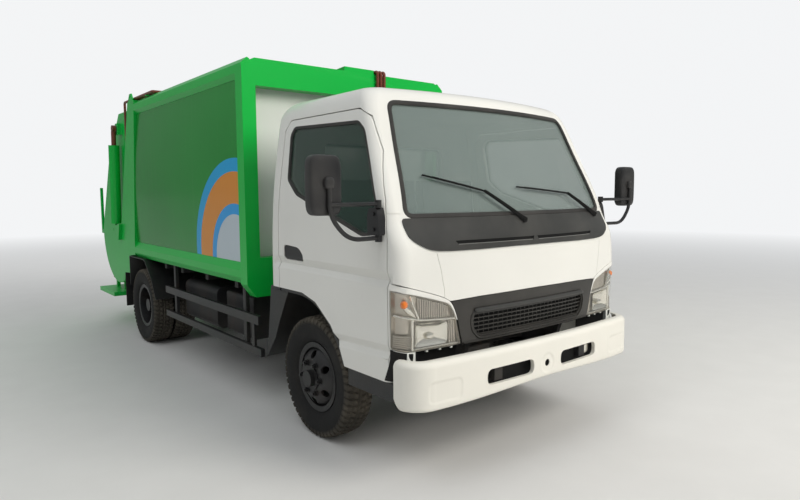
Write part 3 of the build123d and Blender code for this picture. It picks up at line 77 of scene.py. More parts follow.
# Cab levels: height, half width, front at the middle, rear, corner radius, bow of the front
CAB_ROWS = np.array([
    (0.560, 0.975, -0.935, 0.455, 0.095, 0.055),
    (0.720, 0.981, -1.000, 0.455, 0.095, 0.060),
    (1.120, 0.985, -1.008, 0.452, 0.095, 0.066),
    (1.260, 0.985, -1.004, 0.448, 0.090, 0.078),
    (1.420, 0.980, -0.968, 0.444, 0.080, 0.122),
    (1.850, 0.928, -0.772, 0.456, 0.080, 0.112),
    (2.040, 0.896, -0.680, 0.456, 0.084, 0.105),
    (2.110, 0.862, -0.632, 0.418, 0.090, 0.095),
    (2.150, 0.800, -0.560, 0.372, 0.100, 0.080),
    (2.170, 0.690, -0.440, 0.280, 0.110, 0.060),
])
# The roof draws in above the eaves, and lies lower in the inner surfaces from its foot upwards
EAVES = 2.03
ROOF_FOOT = 2.04
ROOF_CROWN = 0.008
CAB_WALL = 0.05
REAR_CORNER = 0.06
SEAT_DECK = 0.935
SHUT_GAP = 0.006
SEAM_DEPTH = 0.004
LAMP_DEPTH = 0.044

# Lines pressed into the doors: height of the floor, reach above it, reach below it, depth
UPPER_LINE = (1.102, 0.046, 0.034, 0.020)
LOWER_LINE = (0.704, 0.040, 0.035, 0.017)
# The lower one falls this much a metre from this station; both fade in over a short way behind the corner
LOWER_LINE_FALL, LOWER_LINE_START = 0.046, -0.39
PRESS_START, PRESS_FADE = -0.878, 0.020
PRESSED_ROWS = np.concatenate([np.linspace(1.066, 1.150, 29), np.linspace(0.664, 0.768, 35)])

# Doors: stations and heights of the outlines, widths and heights of what bounds them inwards
DOOR_OUTLINE = np.array([
    (-0.845, 0.560), (-0.845, 1.300), (-0.790, 1.517), (-0.690, 1.777), (-0.590, 1.972),
    (-0.503, 2.022), (0.262, 2.026), (0.322, 1.960), (0.325, 0.500), (-0.845, 0.500),
])
DOOR_INNER = np.array([
    (0.910, 0.480), (0.910, 1.420), (0.853, 1.850), (0.821, 2.040), (1.100, 2.040), (1.100, 0.480),
])
WINDOW_OUTLINE = np.array([
    (-0.745, 1.490), (-0.660, 1.699), (-0.570, 1.900), (-0.505, 1.950), (0.205, 1.975),
    (0.245, 1.925), (0.225, 1.640), (0.100, 1.543), (-0.300, 1.422), (-0.617, 1.323),
    (-0.735, 1.335),
])
WINDOW_CORNER = 0.025
HANDLE_POCKET = np.array([(0.008, 1.130), (0.008, 1.170), (0.060, 1.215), (0.250, 1.226), (0.250, 1.130)])
ARCH_OUTLINE = np.array([
    (-0.421, 0.300), (-0.421, 0.558), (-0.373, 0.677), (-0.291, 0.781), (-0.126, 0.896),
    (0.030, 0.935), (0.700, 0.935), (0.700, 0.300),
])
# How far each point of the arch moves, in stations and heights, where the arch grows
ARCH_GROWTH = np.array([(-1, 0), (-1, 0), (-1, 0.5), (-0.5, 1), (0, 1), (0, 1), (0, 1), (0, 0)])
ARCH_LIP = np.array([
    (-0.423, 0.570), (-0.374, 0.677), (-0.292, 0.781), (-0.127, 0.896), (0.030, 0.935), (0.316, 0.935),
])
CORNER_LIP = np.array([(0.334, 0.935), (0.448, 0.935)])
# Depth under the arch's edge, distance from the truck's middle
LIP_SECTION = ((0.0, 0.940), (0.020, 0.940), (0.026, 0.948), (0.026, 0.966), (0.020, 0.974), (0.0, 0.974))

# Front and back: widths and heights
SCREEN_OUTLINE = np.array([(-0.876, 1.423), (-0.770, 2.064), (0.770, 2.064), (0.876, 1.423)])
SCREEN_CORNER = 0.06
FRONT_SEAM = np.array([(0.741, 1.236), (0.734, 1.201), (0.721, 1.148), (0.710, 1.084), (0.700, 1.040), (0.699, 1.0)])
SEAM_HALF = np.array([0.0013, 0.0])
COWL_EDGE = np.array([
    (0.894, 1.420), (0.896, 1.372), (0.889, 1.326), (0.877, 1.311), (0.855, 1.292), (0.810, 1.268), (0.783, 1.257),
    (0.740, 1.249), (0.657, 1.245), (0.450, 1.244), (0.200, 1.247),
])
COWL_SLOTS = np.array([(0.026, 1.275), (0.014, 1.297), (0.620, 1.297), (0.600, 1.275)])
REAR_WINDOW = np.array([(-0.56, 1.54), (-0.56, 1.90), (0.56, 1.90), (0.56, 1.54)])
REAR_WINDOW_CORNER = 0.05
GRILLE_SIDE = np.array([
    (0.577, 0.729), (0.599, 0.812), (0.613, 0.872), (0.627, 0.914), (0.641, 0.948), (0.660, 0.976),
])
GRILLE_OUTLINE = np.concatenate([
    GRILLE_SIDE, [(0.450, 0.984), (0.0, 0.988), (-0.450, 0.984)], (GRILLE_SIDE * (-1.0, 1.0))[::-1], [(0.0, 0.729)],
])
GRILLE_FIELD = np.array([
    (-0.455, 0.757), (-0.500, 0.800), (-0.512, 0.857), (-0.497, 0.897), (0.497, 0.897), (0.512, 0.857), (0.500, 0.800),
    (0.455, 0.757),
])
LAMP_TOP = np.array([
    (0.614, 0.872), (0.628, 0.914), (0.642, 0.948), (0.662, 0.977), (0.700, 0.998), (0.760, 1.020), (0.854, 1.049),
    (0.914, 1.067), (0.984, 1.090),
])
LAMP_FOOT = np.array([(0.981, 0.749), (0.957, 0.740), (0.897, 0.729), (0.791, 0.728), (0.650, 0.728)])
LAMP_OUTLINE = np.concatenate([[(0.579, 0.730), (0.600, 0.812)], LAMP_TOP, [(1.02, 1.090), (1.02, 0.749)], LAMP_FOOT])
LENS_TOP = np.array([
    (0.618, 0.872), (0.640, 0.921), (0.660, 0.953), (0.687, 0.970), (0.728, 0.982), (0.792, 1.001), (0.854, 1.018),
    (0.914, 1.034), (0.984, 1.052),
])
LENS_OUTLINE = np.concatenate([[(0.586, 0.736), (0.604, 0.812)], LENS_TOP, LAMP_FOOT + (0.0, 0.003)])
BOWL_OUTLINE = np.array([(0.672, 0.752), (0.672, 0.868), (0.878, 0.880), (0.880, 0.752)])
MARKER_LINE = np.array([(0.938, 0.972), (0.915, 0.948), (0.890, 0.925), (0.866, 0.905)])
# Line, radius and lift of each divider
LAMP_DIVIDERS = (
    ([(0.618, 0.880), (0.727, 0.885), (0.854, 0.895), (0.914, 0.910), (0.980, 0.924)], 0.0075, -0.012),
    ([(0.893, 0.900), (0.893, 0.736)], 0.0075, -0.012),
    ([(0.908, 1.026), (0.880, 0.960), (0.854, 0.900)], 0.006, -0.012),
    ([(0.600, 0.742), (0.893, 0.742)], 0.006, -0.014),
)
# Wipers: pivot, end of the arm, tip of the blade
WIPERS = np.array([
    [(-0.082, 1.393), (-0.345, 1.563), (-0.710, 1.648)],
    [(0.745, 1.402), (0.435, 1.546), (-0.060, 1.584)],
])

# Sections of mouldings: how far out across the surface, how far off it
REAR_SEAL = ((-0.018, -0.010), (-0.016, 0.003), (0.004, 0.004), (0.006, -0.004), (-0.001, -0.020))
DOOR_SEAL = ((-0.016, -0.010), (-0.014, -0.002), (-0.003, 0.0015), (0.003, 0.0005), (0.003, -0.006), (-0.001, -0.020))
GRILLE_FRAMES = (
    ((0.016, 0.001), (0.014, 0.007), (0.009, 0.009), (0.004, 0.007), (0.002, 0.0), (0.004, -0.010), (0.014, -0.008)),
    ((0.001, -0.003), (-0.003, 0.002), (-0.008, 0.001), (-0.010, -0.008), (-0.004, -0.014)),
)
BUCKET_WALL = ((0.0, -0.004), (-0.004, -0.002), (-0.007, -0.030))
SLOT_LIP = ((0.006, 0.0004), (0.001, 0.0007), (-0.001, -0.002), (-0.001, -0.024), (0.001, -0.024), (0.003, -0.004))
# The lamp's rim: share of the way from the cab's edge to the lens', how far off the surface
RIM_SECTION = ((0.03, -0.026), (0.03, 0.0005), (0.12, 0.003), (0.86, 0.003), (0.96, 0.0005), (0.96, -0.026))

# Bumper: stations of its front and ends, depth of its bow, radii of its corners and its rolled top edge,
# half width before the corners, and widths and heights of its left slot
BUMPER_FRONT = -1.110
BUMPER_BOW = 0.040
BUMPER_CORNER = 0.150
BUMPER_FLAT = 0.850
BUMPER_ENDS = -0.905
BUMPER_TOP = 0.700
BUMPER_ROLL = 0.033
BUMPER_SLOT = np.array([(0.125, 0.511), (0.125, 0.600), (0.502, 0.600), (0.502, 0.511)])
# Height and radius
TOW_HOLE = (0.552, 0.021)
# Dark sheet behind the bumper, painted shade seen through its slots: depth behind the face, height
SLOT_SHADE_SECTION = np.array([
    (0.064, 0.470), (0.064, 0.688), (0.160, 0.600), (0.158, 0.594), (0.068, 0.676), (0.068, 0.470),
])

# Mirrors: station and distance out, plate on the door in stations and heights, arm and face in widths and heights
MIRROR_STATION = -0.790
MIRROR_OUT = 1.3225
MIRROR_PLATE = np.array([
    (-0.824, 1.335), (-0.803, 1.450), (-0.792, 1.478), (-0.735, 1.478), (-0.714, 1.440), (-0.714, 1.335),
])
MIRROR_ARM = np.array([(1.001, 1.322), (1.215, 1.325), (1.318, 1.440), (1.318, 1.585)])
MIRROR_FACE = np.array([(-0.072, -0.128), (-0.072, 0.128), (0.072, 0.128), (0.072, -0.128)])

# Half a tyre's section, from the bead over the shoulder to the middle: offset from the middle, radius
TYRE_SECTION = np.array([
    (-0.066, 0.212), (-0.068, 0.224), (-0.078, 0.232), (-0.090, 0.252), (-0.098, 0.290), (-0.0995, 0.318),
    (-0.098, 0.338), (-0.0965, 0.344), (-0.0995, 0.350), (-0.100, 0.360), (-0.098, 0.368), (-0.094, 0.375),
    (-0.086, 0.381), (-0.074, 0.3835), (-0.060, 0.385), (-0.050, 0.3858), (-0.048, 0.3859), (-0.036, 0.3864),
    (-0.034, 0.3865), (-0.022, 0.387), (-0.010, 0.3875), (-0.008, 0.3875), (0.0, 0.3875),
])
# Offset and half width of the grooves
TYRE_GROOVES = ((0.009, 0.0035), (0.049, 0.003))
# Distance from the truck's middle and station: front, rear outer, rear inner
TYRES = ((0.8325, 0.0), (0.885, WHEELBASE), (0.665, WHEELBASE))
NUT_RING = 0.102

# Degrees past which an edge stays sharp, or is rounded
SMOOTH_ANGLE = 32.0
CAB_ANGLE = 28.0
TYRE_ANGLE = 24.0
SHEET_ANGLE = 30.0
BEVEL_ANGLE = 35.0
# Points closer than this are one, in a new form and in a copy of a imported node
MERGE = 1e-5
SHEET_MERGE = 2e-5

# Stripes on the side panels: centre in stations and heights, and from the outermost inwards each radius and colour
STRIPE_CENTRE = (1.06, 1.0)
STRIPES = ((0.82, (30, 160, 215)), (0.72, (215, 140, 55)), (0.48, (45, 155, 222)), (0.40, (188, 200, 208)))

# Sheet nodes shown again with rounded edges: finish, the edges' radius where it isn't the panel's, nodes
SHEET_NODES = (
    ("green", None, ("body_frame", "tailgate_sides", "tailgate_roof", "hopper", "bin_lifter", "body_roof")),
    ("worn_green", None, ("packer_carrier", "sweep_blade", "ejector_panel")),
    ("side", 0.002, ("body_sides",)),
    ("guard", 0.002, ("side_guards",)),
    ("green", 0.002, ("foot_steps",)),
    ("guard", 0.002, ("mudguards", "cab_steps")),
    ("chassis", 0.003, ("tanks", "chassis_frame")),
)
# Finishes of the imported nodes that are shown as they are, by node and else by slot
LEFT_FINISH = {
    "body_front_wall": "front_wall", "lift_rods": "pipe", "slide_barrels": "green", "sweep_barrels": "green",
}
SLOT_FINISH = {
    "green_paint": "green", "dark_steel": "chassis", "cast": "cast", "black_plastic": "plastic", "lamp_red": "red",
    "rod_chrome": "ram", "pipe_brown": "pipe", "seat_cloth": "seat",
}

# Camera: place, degrees turned from straight back to the truck's left, down, and rolled, lens and sensor in mm
CAMERA_PLACE = (-2.892, -5.458, 1.552)
CAMERA_ANGLES = (39.11, 5.34, 0.36)
CAMERA_LENS = 27.48
CAMERA_SENSOR = 36.0

# Soft lights: name, place, width, watts, colour. All face one point
LIGHTS = (
    ("key", (3.0, -10.5, 6.5), 6.0, 800.0, (1.0, 0.965, 0.90)),
    ("fill", (-7.0, -3.5, 9.5), 6.0, 210.0, (0.95, 0.98, 1.0)),
    ("back", (3.0, 9.5, 7.0), 7.0, 160.0, (1.0, 0.99, 0.97)),
)
LIT_POINT = (0.0, 0.0, 1.2)
BACKGROUND = (0.90, 0.91, 0.92)
FLOOR_RADIUS = 90.0
FADE_MIDDLE, FADE_WIDTH = 13.0, 17.0


# Node maths

class Wire:
    """A node's output, on which arithmetic adds Math nodes."""

    def __init__(self, paint, socket):
        self.paint = paint
        self.socket = socket

    def math(self, operation, *others, clamp=False):
        """A Math node of that operation on this value and the others."""
        return self.paint.node("ShaderNodeMath", {"operation": operation, "use_clamp": clamp},
                               dict(enumerate((self,) + others)))

    def __add__(self, other):
        return self.math("ADD", other)

    def __sub__(self, other):
        return self.math("SUBTRACT", other)

    def __mul__(self, other):
        return self.math("MULTIPLY", other)

    def __truediv__(self, other):
        return self.math("DIVIDE", other)

    __radd__ = __add__
    __rmul__ = __mul__

    def __rsub__(self, other):
        return self.paint.node("ShaderNodeMath", {"operation": "SUBTRACT"}, {0: other, 1: self})

    def __pow__(self, other):
        return self.math("POWER", other)

    def clamped(self):
        """The value held between 0 and 1."""
        return self.math("ADD", 0.0, clamp=True)

    def above(self, edge, width):
        """A soft step from 0 to 1 as the value passes edge."""
        return ((self - (edge - width / 2)) / width).clamped()


class Paint:
    """A material, or another owner of nodes such as the world, under construction."""

    def __init__(self, name, owner=None):
        self.owner = owner or bpy.data.materials.new(name)
        self.owner.use_nodes = True
        self.tree = self.owner.node_tree
        self.tree.nodes.clear()

    def node(self, kind, settings=None, values=None, output=0):
        """Adds a node, sets its settings, fills its sockets and returns one output."""
        node = self.tree.nodes.new(kind)
        for key, value in (settings or {}).items():
            setattr(node, key, value)
        for key, value in (values or {}).items():
            socket = node.inputs[key]
            if isinstance(value, Wire):
                self.tree.links.new(value.socket, socket)
            elif isinstance(value, tuple) and len(value) == 3 and socket.type == "RGBA":
                socket.default_value = (*value, 1.0)
            else:
                socket.default_value = value
        return Wire(self, node.outputs[output])

    def place(self):
        """The point in the truck's own frame, as a vector wire."""
        return self.node("ShaderNodeTexCoord", output="Object")

    def split(self, vector):
        """The three parts of a vector wire."""
        node = self.node("ShaderNodeSeparateXYZ", values={0: vector}).socket.node
        return [Wire(self, node.outputs[i]) for i in range(3)]

    def stretched(self, scale):
        """Object coordinates stretched along the axes."""
        return self.node("ShaderNodeMapping", {"vector_type": "POINT"}, {"Vector": self.place(), "Scale": scale})

    def noise(self, scale, detail, stretch=None):
        """Noise from 0 to 1 on object coordinates."""
        vector = self.stretched(stretch) if stretch else self.place()
        return self.node("ShaderNodeTexNoise", None,
                         {"Vector": vector, "Scale": scale, "Detail": detail, "Roughness": 0.55})

    def mix(self, share, a, b):
        """Two colours mixed by share."""
        return self.node("ShaderNodeMix", {"data_type": "RGBA"}, {0: share, 6: a, 7: b}, output=2)

    def bump(self, height, strength, distance):
        """A normal bent by a height wire."""
        return self.node("ShaderNodeBump", None, {"Height": height, "Strength": strength, "Distance": distance})

    def surface(self, **sockets):
        """Ends the material in a Principled shader. Socket names are written with underscores."""
        values = {key.replace("_", " "): value for key, value in sockets.items()}
        return self.end(self.node("ShaderNodeBsdfPrincipled", None, values))

    def end(self, shader, kind="ShaderNodeOutputMaterial"):
        """Links the last shader to an output node and returns what owns the nodes."""
        out = self.tree.nodes.new(kind)
        self.tree.links.new(shader.socket, out.inputs["Surface"])
        return self.owner


def srgb(red, green, blue):
    """A screen colour, 0 to 255, as linear light: each part by the standard curve."""
    value = np.array([red, green, blue]) / 255.0
    return tuple(np.where(value <= 0.04045, value / 12.92, ((value + 0.055) / 1.055) ** 2.4).tolist())


def painted(name, colour, rough, coat, dust, dust_top, dust_tint=(0.42, 0.36, 0.28)):
    """Sprayed sheet metal: tone drifts slowly, road dust thickens downwards and rain leaves faint runs."""
    p = Paint(name)
    height = p.split(p.place())[2]
    drift = p.noise(1.1, 2.0)
    grain = p.noise(34.0, 4.0)
    runs = p.noise(6.0, 3.0, stretch=(3.0, 3.0, 0.22))
    low = (((dust_top - height) / dust_top).clamped() ** 2.0) * (0.35 + 1.1 * grain)
    film = (low * dust + (runs - 0.54).clamped() * 0.35 * dust).clamped()
    shade = tuple(c * 0.93 for c in colour)
    base = p.mix(drift.above(0.5, 0.5), shade, colour)
    base = p.mix(film, base, dust_tint)
    return p.surface(Base_Color=base, Roughness=(rough + film * 0.45 + grain * 0.05).clamped(),
                     Specular_IOR_Level=0.35, Coat_Weight=((1.0 - film) * coat).clamped(), Coat_Roughness=0.08,
                     Normal=p.bump(grain * 0.12, 0.05, 0.02))


def striped_side(name, colour):
    """The side panel's glossy green, with concentric stripes by the distance from their centre."""
    p = Paint(name)
    y, z = p.split(p.place())[1:]
    reach = (((y - (STRIPE_CENTRE[0] - AXLE)) ** 2.0) + ((z - STRIPE_CENTRE[1]) ** 2.0)) ** 0.5
    drift = p.noise(0.8, 2.0)
    grain = p.noise(30.0, 4.0)
    runs = p.noise(5.0, 3.0, stretch=(3.0, 3.0, 0.2))
    base = p.mix(drift.above(0.5, 0.6), tuple(c * 0.8 for c in colour), colour)
    for radius, tint in STRIPES:
        base = p.mix(1.0 - reach.above(radius, 0.004), base, srgb(*tint))
    film = (((1.7 - z) / 1.7).clamped() ** 2.0 * 0.10 * grain + (runs - 0.58).clamped() * 0.10).clamped()
    base = p.mix(film, base, (0.40, 0.38, 0.30))
    wave = p.noise(1.0, 1.0, stretch=(1.0, 0.7, 1.3)) + 0.01 * grain
    return p.surface(Base_Color=base, Roughness=(0.20 + film * 0.5 + grain * 0.04).clamped(), Specular_IOR_Level=0.2,
                     Coat_Weight=0.1, Coat_Roughness=0.07, Normal=p.bump(wave, 0.10, 0.03))


def plastic(name, colour, rough, grain_scale=320.0, dust=0.25, bump=0.15):
    """Moulded plastic with a fine grain, faded and dusty in patches."""
    p = Paint(name)
    grain = p.noise(grain_scale, 2.0)
    patch = p.noise(4.0, 4.0)
    film = ((patch - 0.42).clamped() * 1.2 * dust).clamped()
    base = p.mix(film, colour, (0.30, 0.28, 0.25))
    return p.surface(Base_Color=base, Roughness=(rough + film * 0.3 + (grain - 0.5) * 0.08).clamped(),
                     Normal=p.bump(grain, bump, 0.0006))


def rough_steel(name, colour, rust, dust, rough=0.6):
    """Chassis black on cast or rolled steel, with rust blooms and road dust."""
    p = Paint(name)
    height = p.split(p.place())[2]
    cloud = p.noise(5.5, 6.0)
    grain = p.noise(70.0, 4.0)
    rusty = ((cloud - 0.56).clamped() * 6.0 * rust).clamped()
    film = ((p.noise(2.6, 4.0) - 0.38).clamped() * (1.5 - height).clamped() * dust * 0.7).clamped()
    base = p.mix(rusty, p.mix(grain, tuple(c * 0.7 for c in colour), colour), (0.17, 0.075, 0.035))
    base = p.mix(film, base, (0.33, 0.27, 0.20))
    return p.surface(Base_Color=base, Roughness=(rough + rusty * 0.2 + film * 0.2).clamped(),
                     Normal=p.bump(grain * 0.6 + cloud, 0.35, 0.004))


def tyre_rubber(name, centre_y):
    """Black rubber greyed by use, with dust packed on the tread and in rings of the sidewall."""
    p = Paint(name)
    y, z = p.split(p.place())[1:]
    reach = (((y - (centre_y - AXLE)) ** 2.0) + ((z - HUB_HEIGHT) ** 2.0)) ** 0.5
    grain = p.noise(60.0, 5.0)
    patch = p.noise(7.0, 4.0)
    tread = reach.above(TYRE_RADIUS - 0.035, 0.03)
    rings = (reach * 260.0).math("SINE") * 0.006
    film = (tread * (patch * 0.70 + 0.10) + (patch - 0.47).clamped() * 0.35 + rings).clamped()
    base = p.mix(grain, (0.010, 0.010, 0.010), (0.020, 0.0195, 0.019))
    base = p.mix((film * 0.6).clamped(), base, (0.22, 0.19, 0.145))
    return p.surface(Base_Color=base, Roughness=(0.72 + film * 0.2).clamped(), Specular_IOR_Level=0.25,
                     Normal=p.bump(grain, 0.4, 0.0015))


def clear(name, tint, alpha, rough=0.03, haze=0.25):
    """Glass or a clear lens, seen through in part and with a faint film of dust."""
    p = Paint(name)
    smear = p.noise(2.0, 4.0, stretch=(1.0, 1.0, 0.6))
    film = ((smear - 0.42).clamped() * haze).clamped()
    base = p.mix(film, tint, (0.45, 0.46, 0.43))
    return p.surface(Base_Color=base, Roughness=(rough + film * 0.1).clamped(), Alpha=(alpha + film * 0.3).clamped(),
                     Coat_Weight=0.6, Coat_Roughness=0.02, IOR=1.5)


def bright(name, colour, rough=0.12):
    """Polished or plated metal, a little smeared."""
    p = Paint(name)
    smear = p.noise(14.0, 4.0)
    return p.surface(Base_Color=p.mix(smear, tuple(c * 0.8 for c in colour), colour), Metallic=1.0,
                     Roughness=(rough + (smear - 0.4).clamped() * 0.3).clamped())


def cloth(name, colour):
    """Woven seat cloth: two crossed sets of threads."""
    p = Paint(name)
    x, y, z = p.split(p.place())
    weave = (x * 1800.0).math("SINE") * ((y + z) * 1800.0).math("SINE")
    patch = p.noise(9.0, 4.0)
    base = p.mix(patch, tuple(c * 0.7 for c in colour), colour)
    return p.surface(Base_Color=base, Roughness=0.9, Normal=p.bump(weave + patch, 0.3, 0.001))


# Meshes

class Form:
    """Points and faces gathered from several surfaces."""

    def __init__(self):
        self.points = []
        self.faces = []
        self.count = 0

    def add(self, points, faces):
        """Adds an array of points and lists of faces on them."""
        points = np.asarray(points, float).reshape(-1, 3)
        self.points.append(points)
        self.faces.extend([[int(i) + self.count for i in face] for face in faces])
        self.count += len(points)
        return self

    def grid(self, surface, wrap_u=False, wrap_v=False, caps=False):
        """A surface given as rows of points. wrap joins the last to the first; caps closes both ends."""
        n, m = surface.shape[:2]
        u = np.arange(n if wrap_u else n - 1)
        v = np.arange(m if wrap_v else m - 1)
        a, b = np.meshgrid(u, v, indexing="ij")
        a2, b2 = (a + 1) % n, (b + 1) % m
        quads = np.stack([a * m + b, a2 * m + b, a2 * m + b2, a * m + b2], -1).reshape(-1, 4)
        faces = quads.tolist()
        if caps:
            faces += [list(range(m))[::-1], [(n - 1) * m + j for j in range(m)]]
        return self.add(surface, faces)

    def mirrored(self):
        """The same form on the other side of the truck."""
        other = Form()
        flat = np.concatenate(self.points) * np.array([-1.0, 1.0, 1.0])
        other.points, other.count = [flat], self.count
        other.faces = [face[::-1] for face in self.faces]
        return other

    def mesh(self, name):
        """A closed mesh with its doubles merged and its faces turned outwards."""
        mesh = bpy.data.meshes.new(name)
        mesh.from_pydata(np.concatenate(self.points).tolist(), [], self.faces)
        tidy(mesh)
        return mesh


def tidy(mesh):
    """Merges doubled points and turns the faces outwards."""
    work = bmesh.new()
    work.from_mesh(mesh)
    bmesh.ops.remove_doubles(work, verts=work.verts, dist=MERGE)
    bmesh.ops.recalc_face_normals(work, faces=work.faces)
    work.to_mesh(mesh)
    work.free()


def mesh_of(shape, name):
    """The mesh of a form, or the mesh itself."""
    return shape.mesh(name) if isinstance(shape, Form) else shape


def show(name, shape, paint, body, hides=(), angle=SMOOTH_ANGLE, bevel=0.0):
    """Puts a form or mesh in the scene as a smooth piece of a body, in place of the nodes it hides."""
    mesh = mesh_of(shape, name)
    piece = bpy.data.objects.new(name, mesh)
    bpy.context.scene.collection.objects.link(piece)
    coat(mesh, paint)
    mesh.polygons.foreach_set("use_smooth", np.ones(len(mesh.polygons), bool))
    mesh.set_sharp_from_angle(angle=math.radians(angle))
    if bevel:
        edge = piece.modifiers.new("edges", "BEVEL")
        edge.width = bevel
        edge.segments = 2
        edge.limit_method = "ANGLE"
        edge.angle_limit = math.radians(BEVEL_ANGLE)
        edge.use_clamp_overlap = True
        edge.harden_normals = False
    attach(piece, body)
    if hides:
        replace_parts(piece, *hides)


def soften(node, paint, width):
    """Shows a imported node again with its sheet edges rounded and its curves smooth."""
    mesh = frame["nodes"][node].data.copy()
    work = bmesh.new()
    work.from_mesh(mesh)
    bmesh.ops.remove_doubles(work, verts=work.verts, dist=SHEET_MERGE)
    bmesh.ops.dissolve_limit(work, angle_limit=math.radians(1.0), verts=work.verts, edges=work.edges)
    work.to_mesh(mesh)
    work.free()
    show(node + "_sheet", mesh, paint, BODY_OF[node], (node,), SHEET_ANGLE, width)


def coat(mesh, paint):
    """Gives a mesh one finish."""
    mesh.materials.clear()
    mesh.materials.append(finish(paint))


def solid_of(shape, cutters, within=None):
    """A form's or mesh's solid, kept inside another where one is given and then cut by each cutter in turn."""
    scene = bpy.context.scene.collection
    target = bpy.data.objects.new("cut", mesh_of(shape, "cut"))
    scene.objects.link(target)
    helpers = []
    steps = [("INTERSECT", within)] if within is not None else []
    for operation, cutter in steps + [("DIFFERENCE", cutter) for cutter in cutters]:
        helper = bpy.data.objects.new("cutter", mesh_of(cutter, "cutter"))
        scene.objects.link(helper)
        helpers.append(helper)
        step = target.modifiers.new("cut", "BOOLEAN")
        step.operation = operation
        step.solver = "EXACT"
        step.object = helper
    bpy.context.view_layer.update()
    graph = bpy.context.evaluated_depsgraph_get()
    result = bpy.data.meshes.new_from_object(target.evaluated_get(graph))
    for helper in helpers + [target]:
        bpy.data.objects.remove(helper)
    return result


def rounded(outline, radius, steps=6, closed=True):
    """An outline with each corner turned on a curve: two points per corner, joined by a quadratic arc."""
    outline = np.asarray(outline, float)
    before, after = np.roll(outline, 1, 0), np.roll(outline, -1, 0)
    d0, d1 = before - outline, after - outline
    l0 = np.linalg.norm(d0, axis=1, keepdims=True)
    l1 = np.linalg.norm(d1, axis=1, keepdims=True)
    reach = np.minimum(radius, 0.45 * np.minimum(l0, l1))
    start, end = outline + d0 / l0 * reach, outline + d1 / l1 * reach
    t = np.linspace(0.0, 1.0, steps)[None, :, None]
    arcs = (1 - t) ** 2 * start[:, None] + 2 * t * (1 - t) * outline[:, None] + t ** 2 * end[:, None]
    if not closed:
        arcs = arcs[1:-1]
        return np.concatenate([outline[:1], arcs.reshape(-1, outline.shape[1]), outline[-1:]])
    return arcs.reshape(-1, outline.shape[1])


def dense(outline, step):
    """A closed outline with more points along its long runs."""
    following = np.roll(outline, -1, 0)
    parts = []
    for a, b in zip(outline, following):
        count = max(int(np.linalg.norm(b - a) / step), 1)
        parts.append(a + (b - a) * np.linspace(0.0, 1.0, count, endpoint=False)[:, None])
    return np.concatenate(parts)


def offset_outline(outline, amount):
    """A closed outline moved outwards by amount along the mean of its edges' normals."""
    tangent = np.roll(outline, -1, 0) - np.roll(outline, 1, 0)
    normal = np.stack([tangent[:, 1], -tangent[:, 0]], 1)
    normal /= np.linalg.norm(normal, axis=1, keepdims=True) + 1e-12
    area = 0.5 * np.sum(outline[:, 0] * np.roll(outline[:, 1], -1) - np.roll(outline[:, 0], -1) * outline[:, 1])
    return outline + normal * amount * (1.0 if area > 0 else -1.0)


def prism(outline, axis, low, high):
    """A closed bar: an outline at both ends, of stations and heights along x or of widths and heights along y."""
    ends = [np.insert(np.asarray(outline, float), "xy".index(axis), place, 1) for place in (low, high)]
    return Form().grid(np.array(ends) - (0.0, AXLE, 0.0), wrap_v=True, caps=True)


def box(x0, x1, y0, y1, z0, z1):
    """A closed box between limits across, along in stations, and up."""
    return prism([(x0, z0), (x1, z0), (x1, z1), (x0, z1)], "y", y0, y1)


def span(side, near, far):
    """The lower and the upper limit across the truck of what lies from near to far on one side of it."""
    return sorted((side * near, side * far))


def tube(path, radius, around=12, squash=1.0):
    """A round bar carried along a path. Each ring stands across the path's direction."""
    path = np.asarray(path, float)
    along = np.gradient(path, axis=0)
    along /= np.linalg.norm(along, axis=1, keepdims=True)
    guide = np.array([0.31, 0.52, 0.79])
    side = np.cross(along, guide)
    side /= np.linalg.norm(side, axis=1, keepdims=True)
    other = np.cross(along, side)
    turn = np.linspace(0.0, 2 * np.pi, around, endpoint=False)
    radius = np.broadcast_to(np.asarray(radius, float), (len(path),))
    ring = side[:, None] * np.cos(turn)[None, :, None] + other[:, None] * np.sin(turn)[None, :, None] * squash
    return Form().grid(path[:, None] + ring * radius[:, None, None], wrap_v=True, caps=True)


def join(*forms):
    """Several forms as one."""
    whole = Form()
    for form in forms:
        whole.add(np.concatenate(form.points), form.faces)
    return whole


# Cab surface

def cab_rows(heights):
    """Every measure of the cab at each height, by a monotone cubic through the table's rows."""
    z, values = CAB_ROWS[:, 0], CAB_ROWS[:, 1:]
    run = np.diff(z)[:, None]
    slope = np.diff(values, axis=0) / run
    same = (slope[:-1] * slope[1:]) > 0
    middle = np.where(same, 2 * slope[:-1] * slope[1:] / np.where(same, slope[:-1] + slope[1:], 1.0), 0.0)
    tangent = np.concatenate([slope[:1], middle, slope[-1:]])
    k = np.clip(np.searchsorted(z, heights, side="right") - 1, 0, len(z) - 2)
    t = np.clip((heights - z[k]) / (z[k + 1] - z[k]), 0.0, 1.0)[:, None]
    h = (z[k + 1] - z[k])[:, None]
    blend = ((1 + 2 * t) * (1 - t) ** 2, t * (1 - t) ** 2, t ** 2 * (3 - 2 * t), t ** 2 * (t - 1))
    return blend[0] * values[k] + blend[1] * h * tangent[k] + blend[2] * values[k + 1] + blend[3] * h * tangent[k + 1]


def valley(z, line, fall=0.0):
    """A pressed line's depth: full at its floor, on straight slopes to none above and below."""
    floor, above, below, depth = line
    floor = floor - fall
    return depth * np.clip(1.0 - np.where(z > floor, (z - floor) / above, (floor - z) / below), 0.0, 1.0)


def crease(z, y):
    """How far the side stands out: minus both valleys, times a share that is none on the corner and full behind."""
    share = np.clip((y - PRESS_START) / PRESS_FADE, 0.0, 1.0)
    lower = valley(z, LOWER_LINE, LOWER_LINE_FALL * (y - LOWER_LINE_START))
    return -(valley(z, UPPER_LINE) + lower) * share


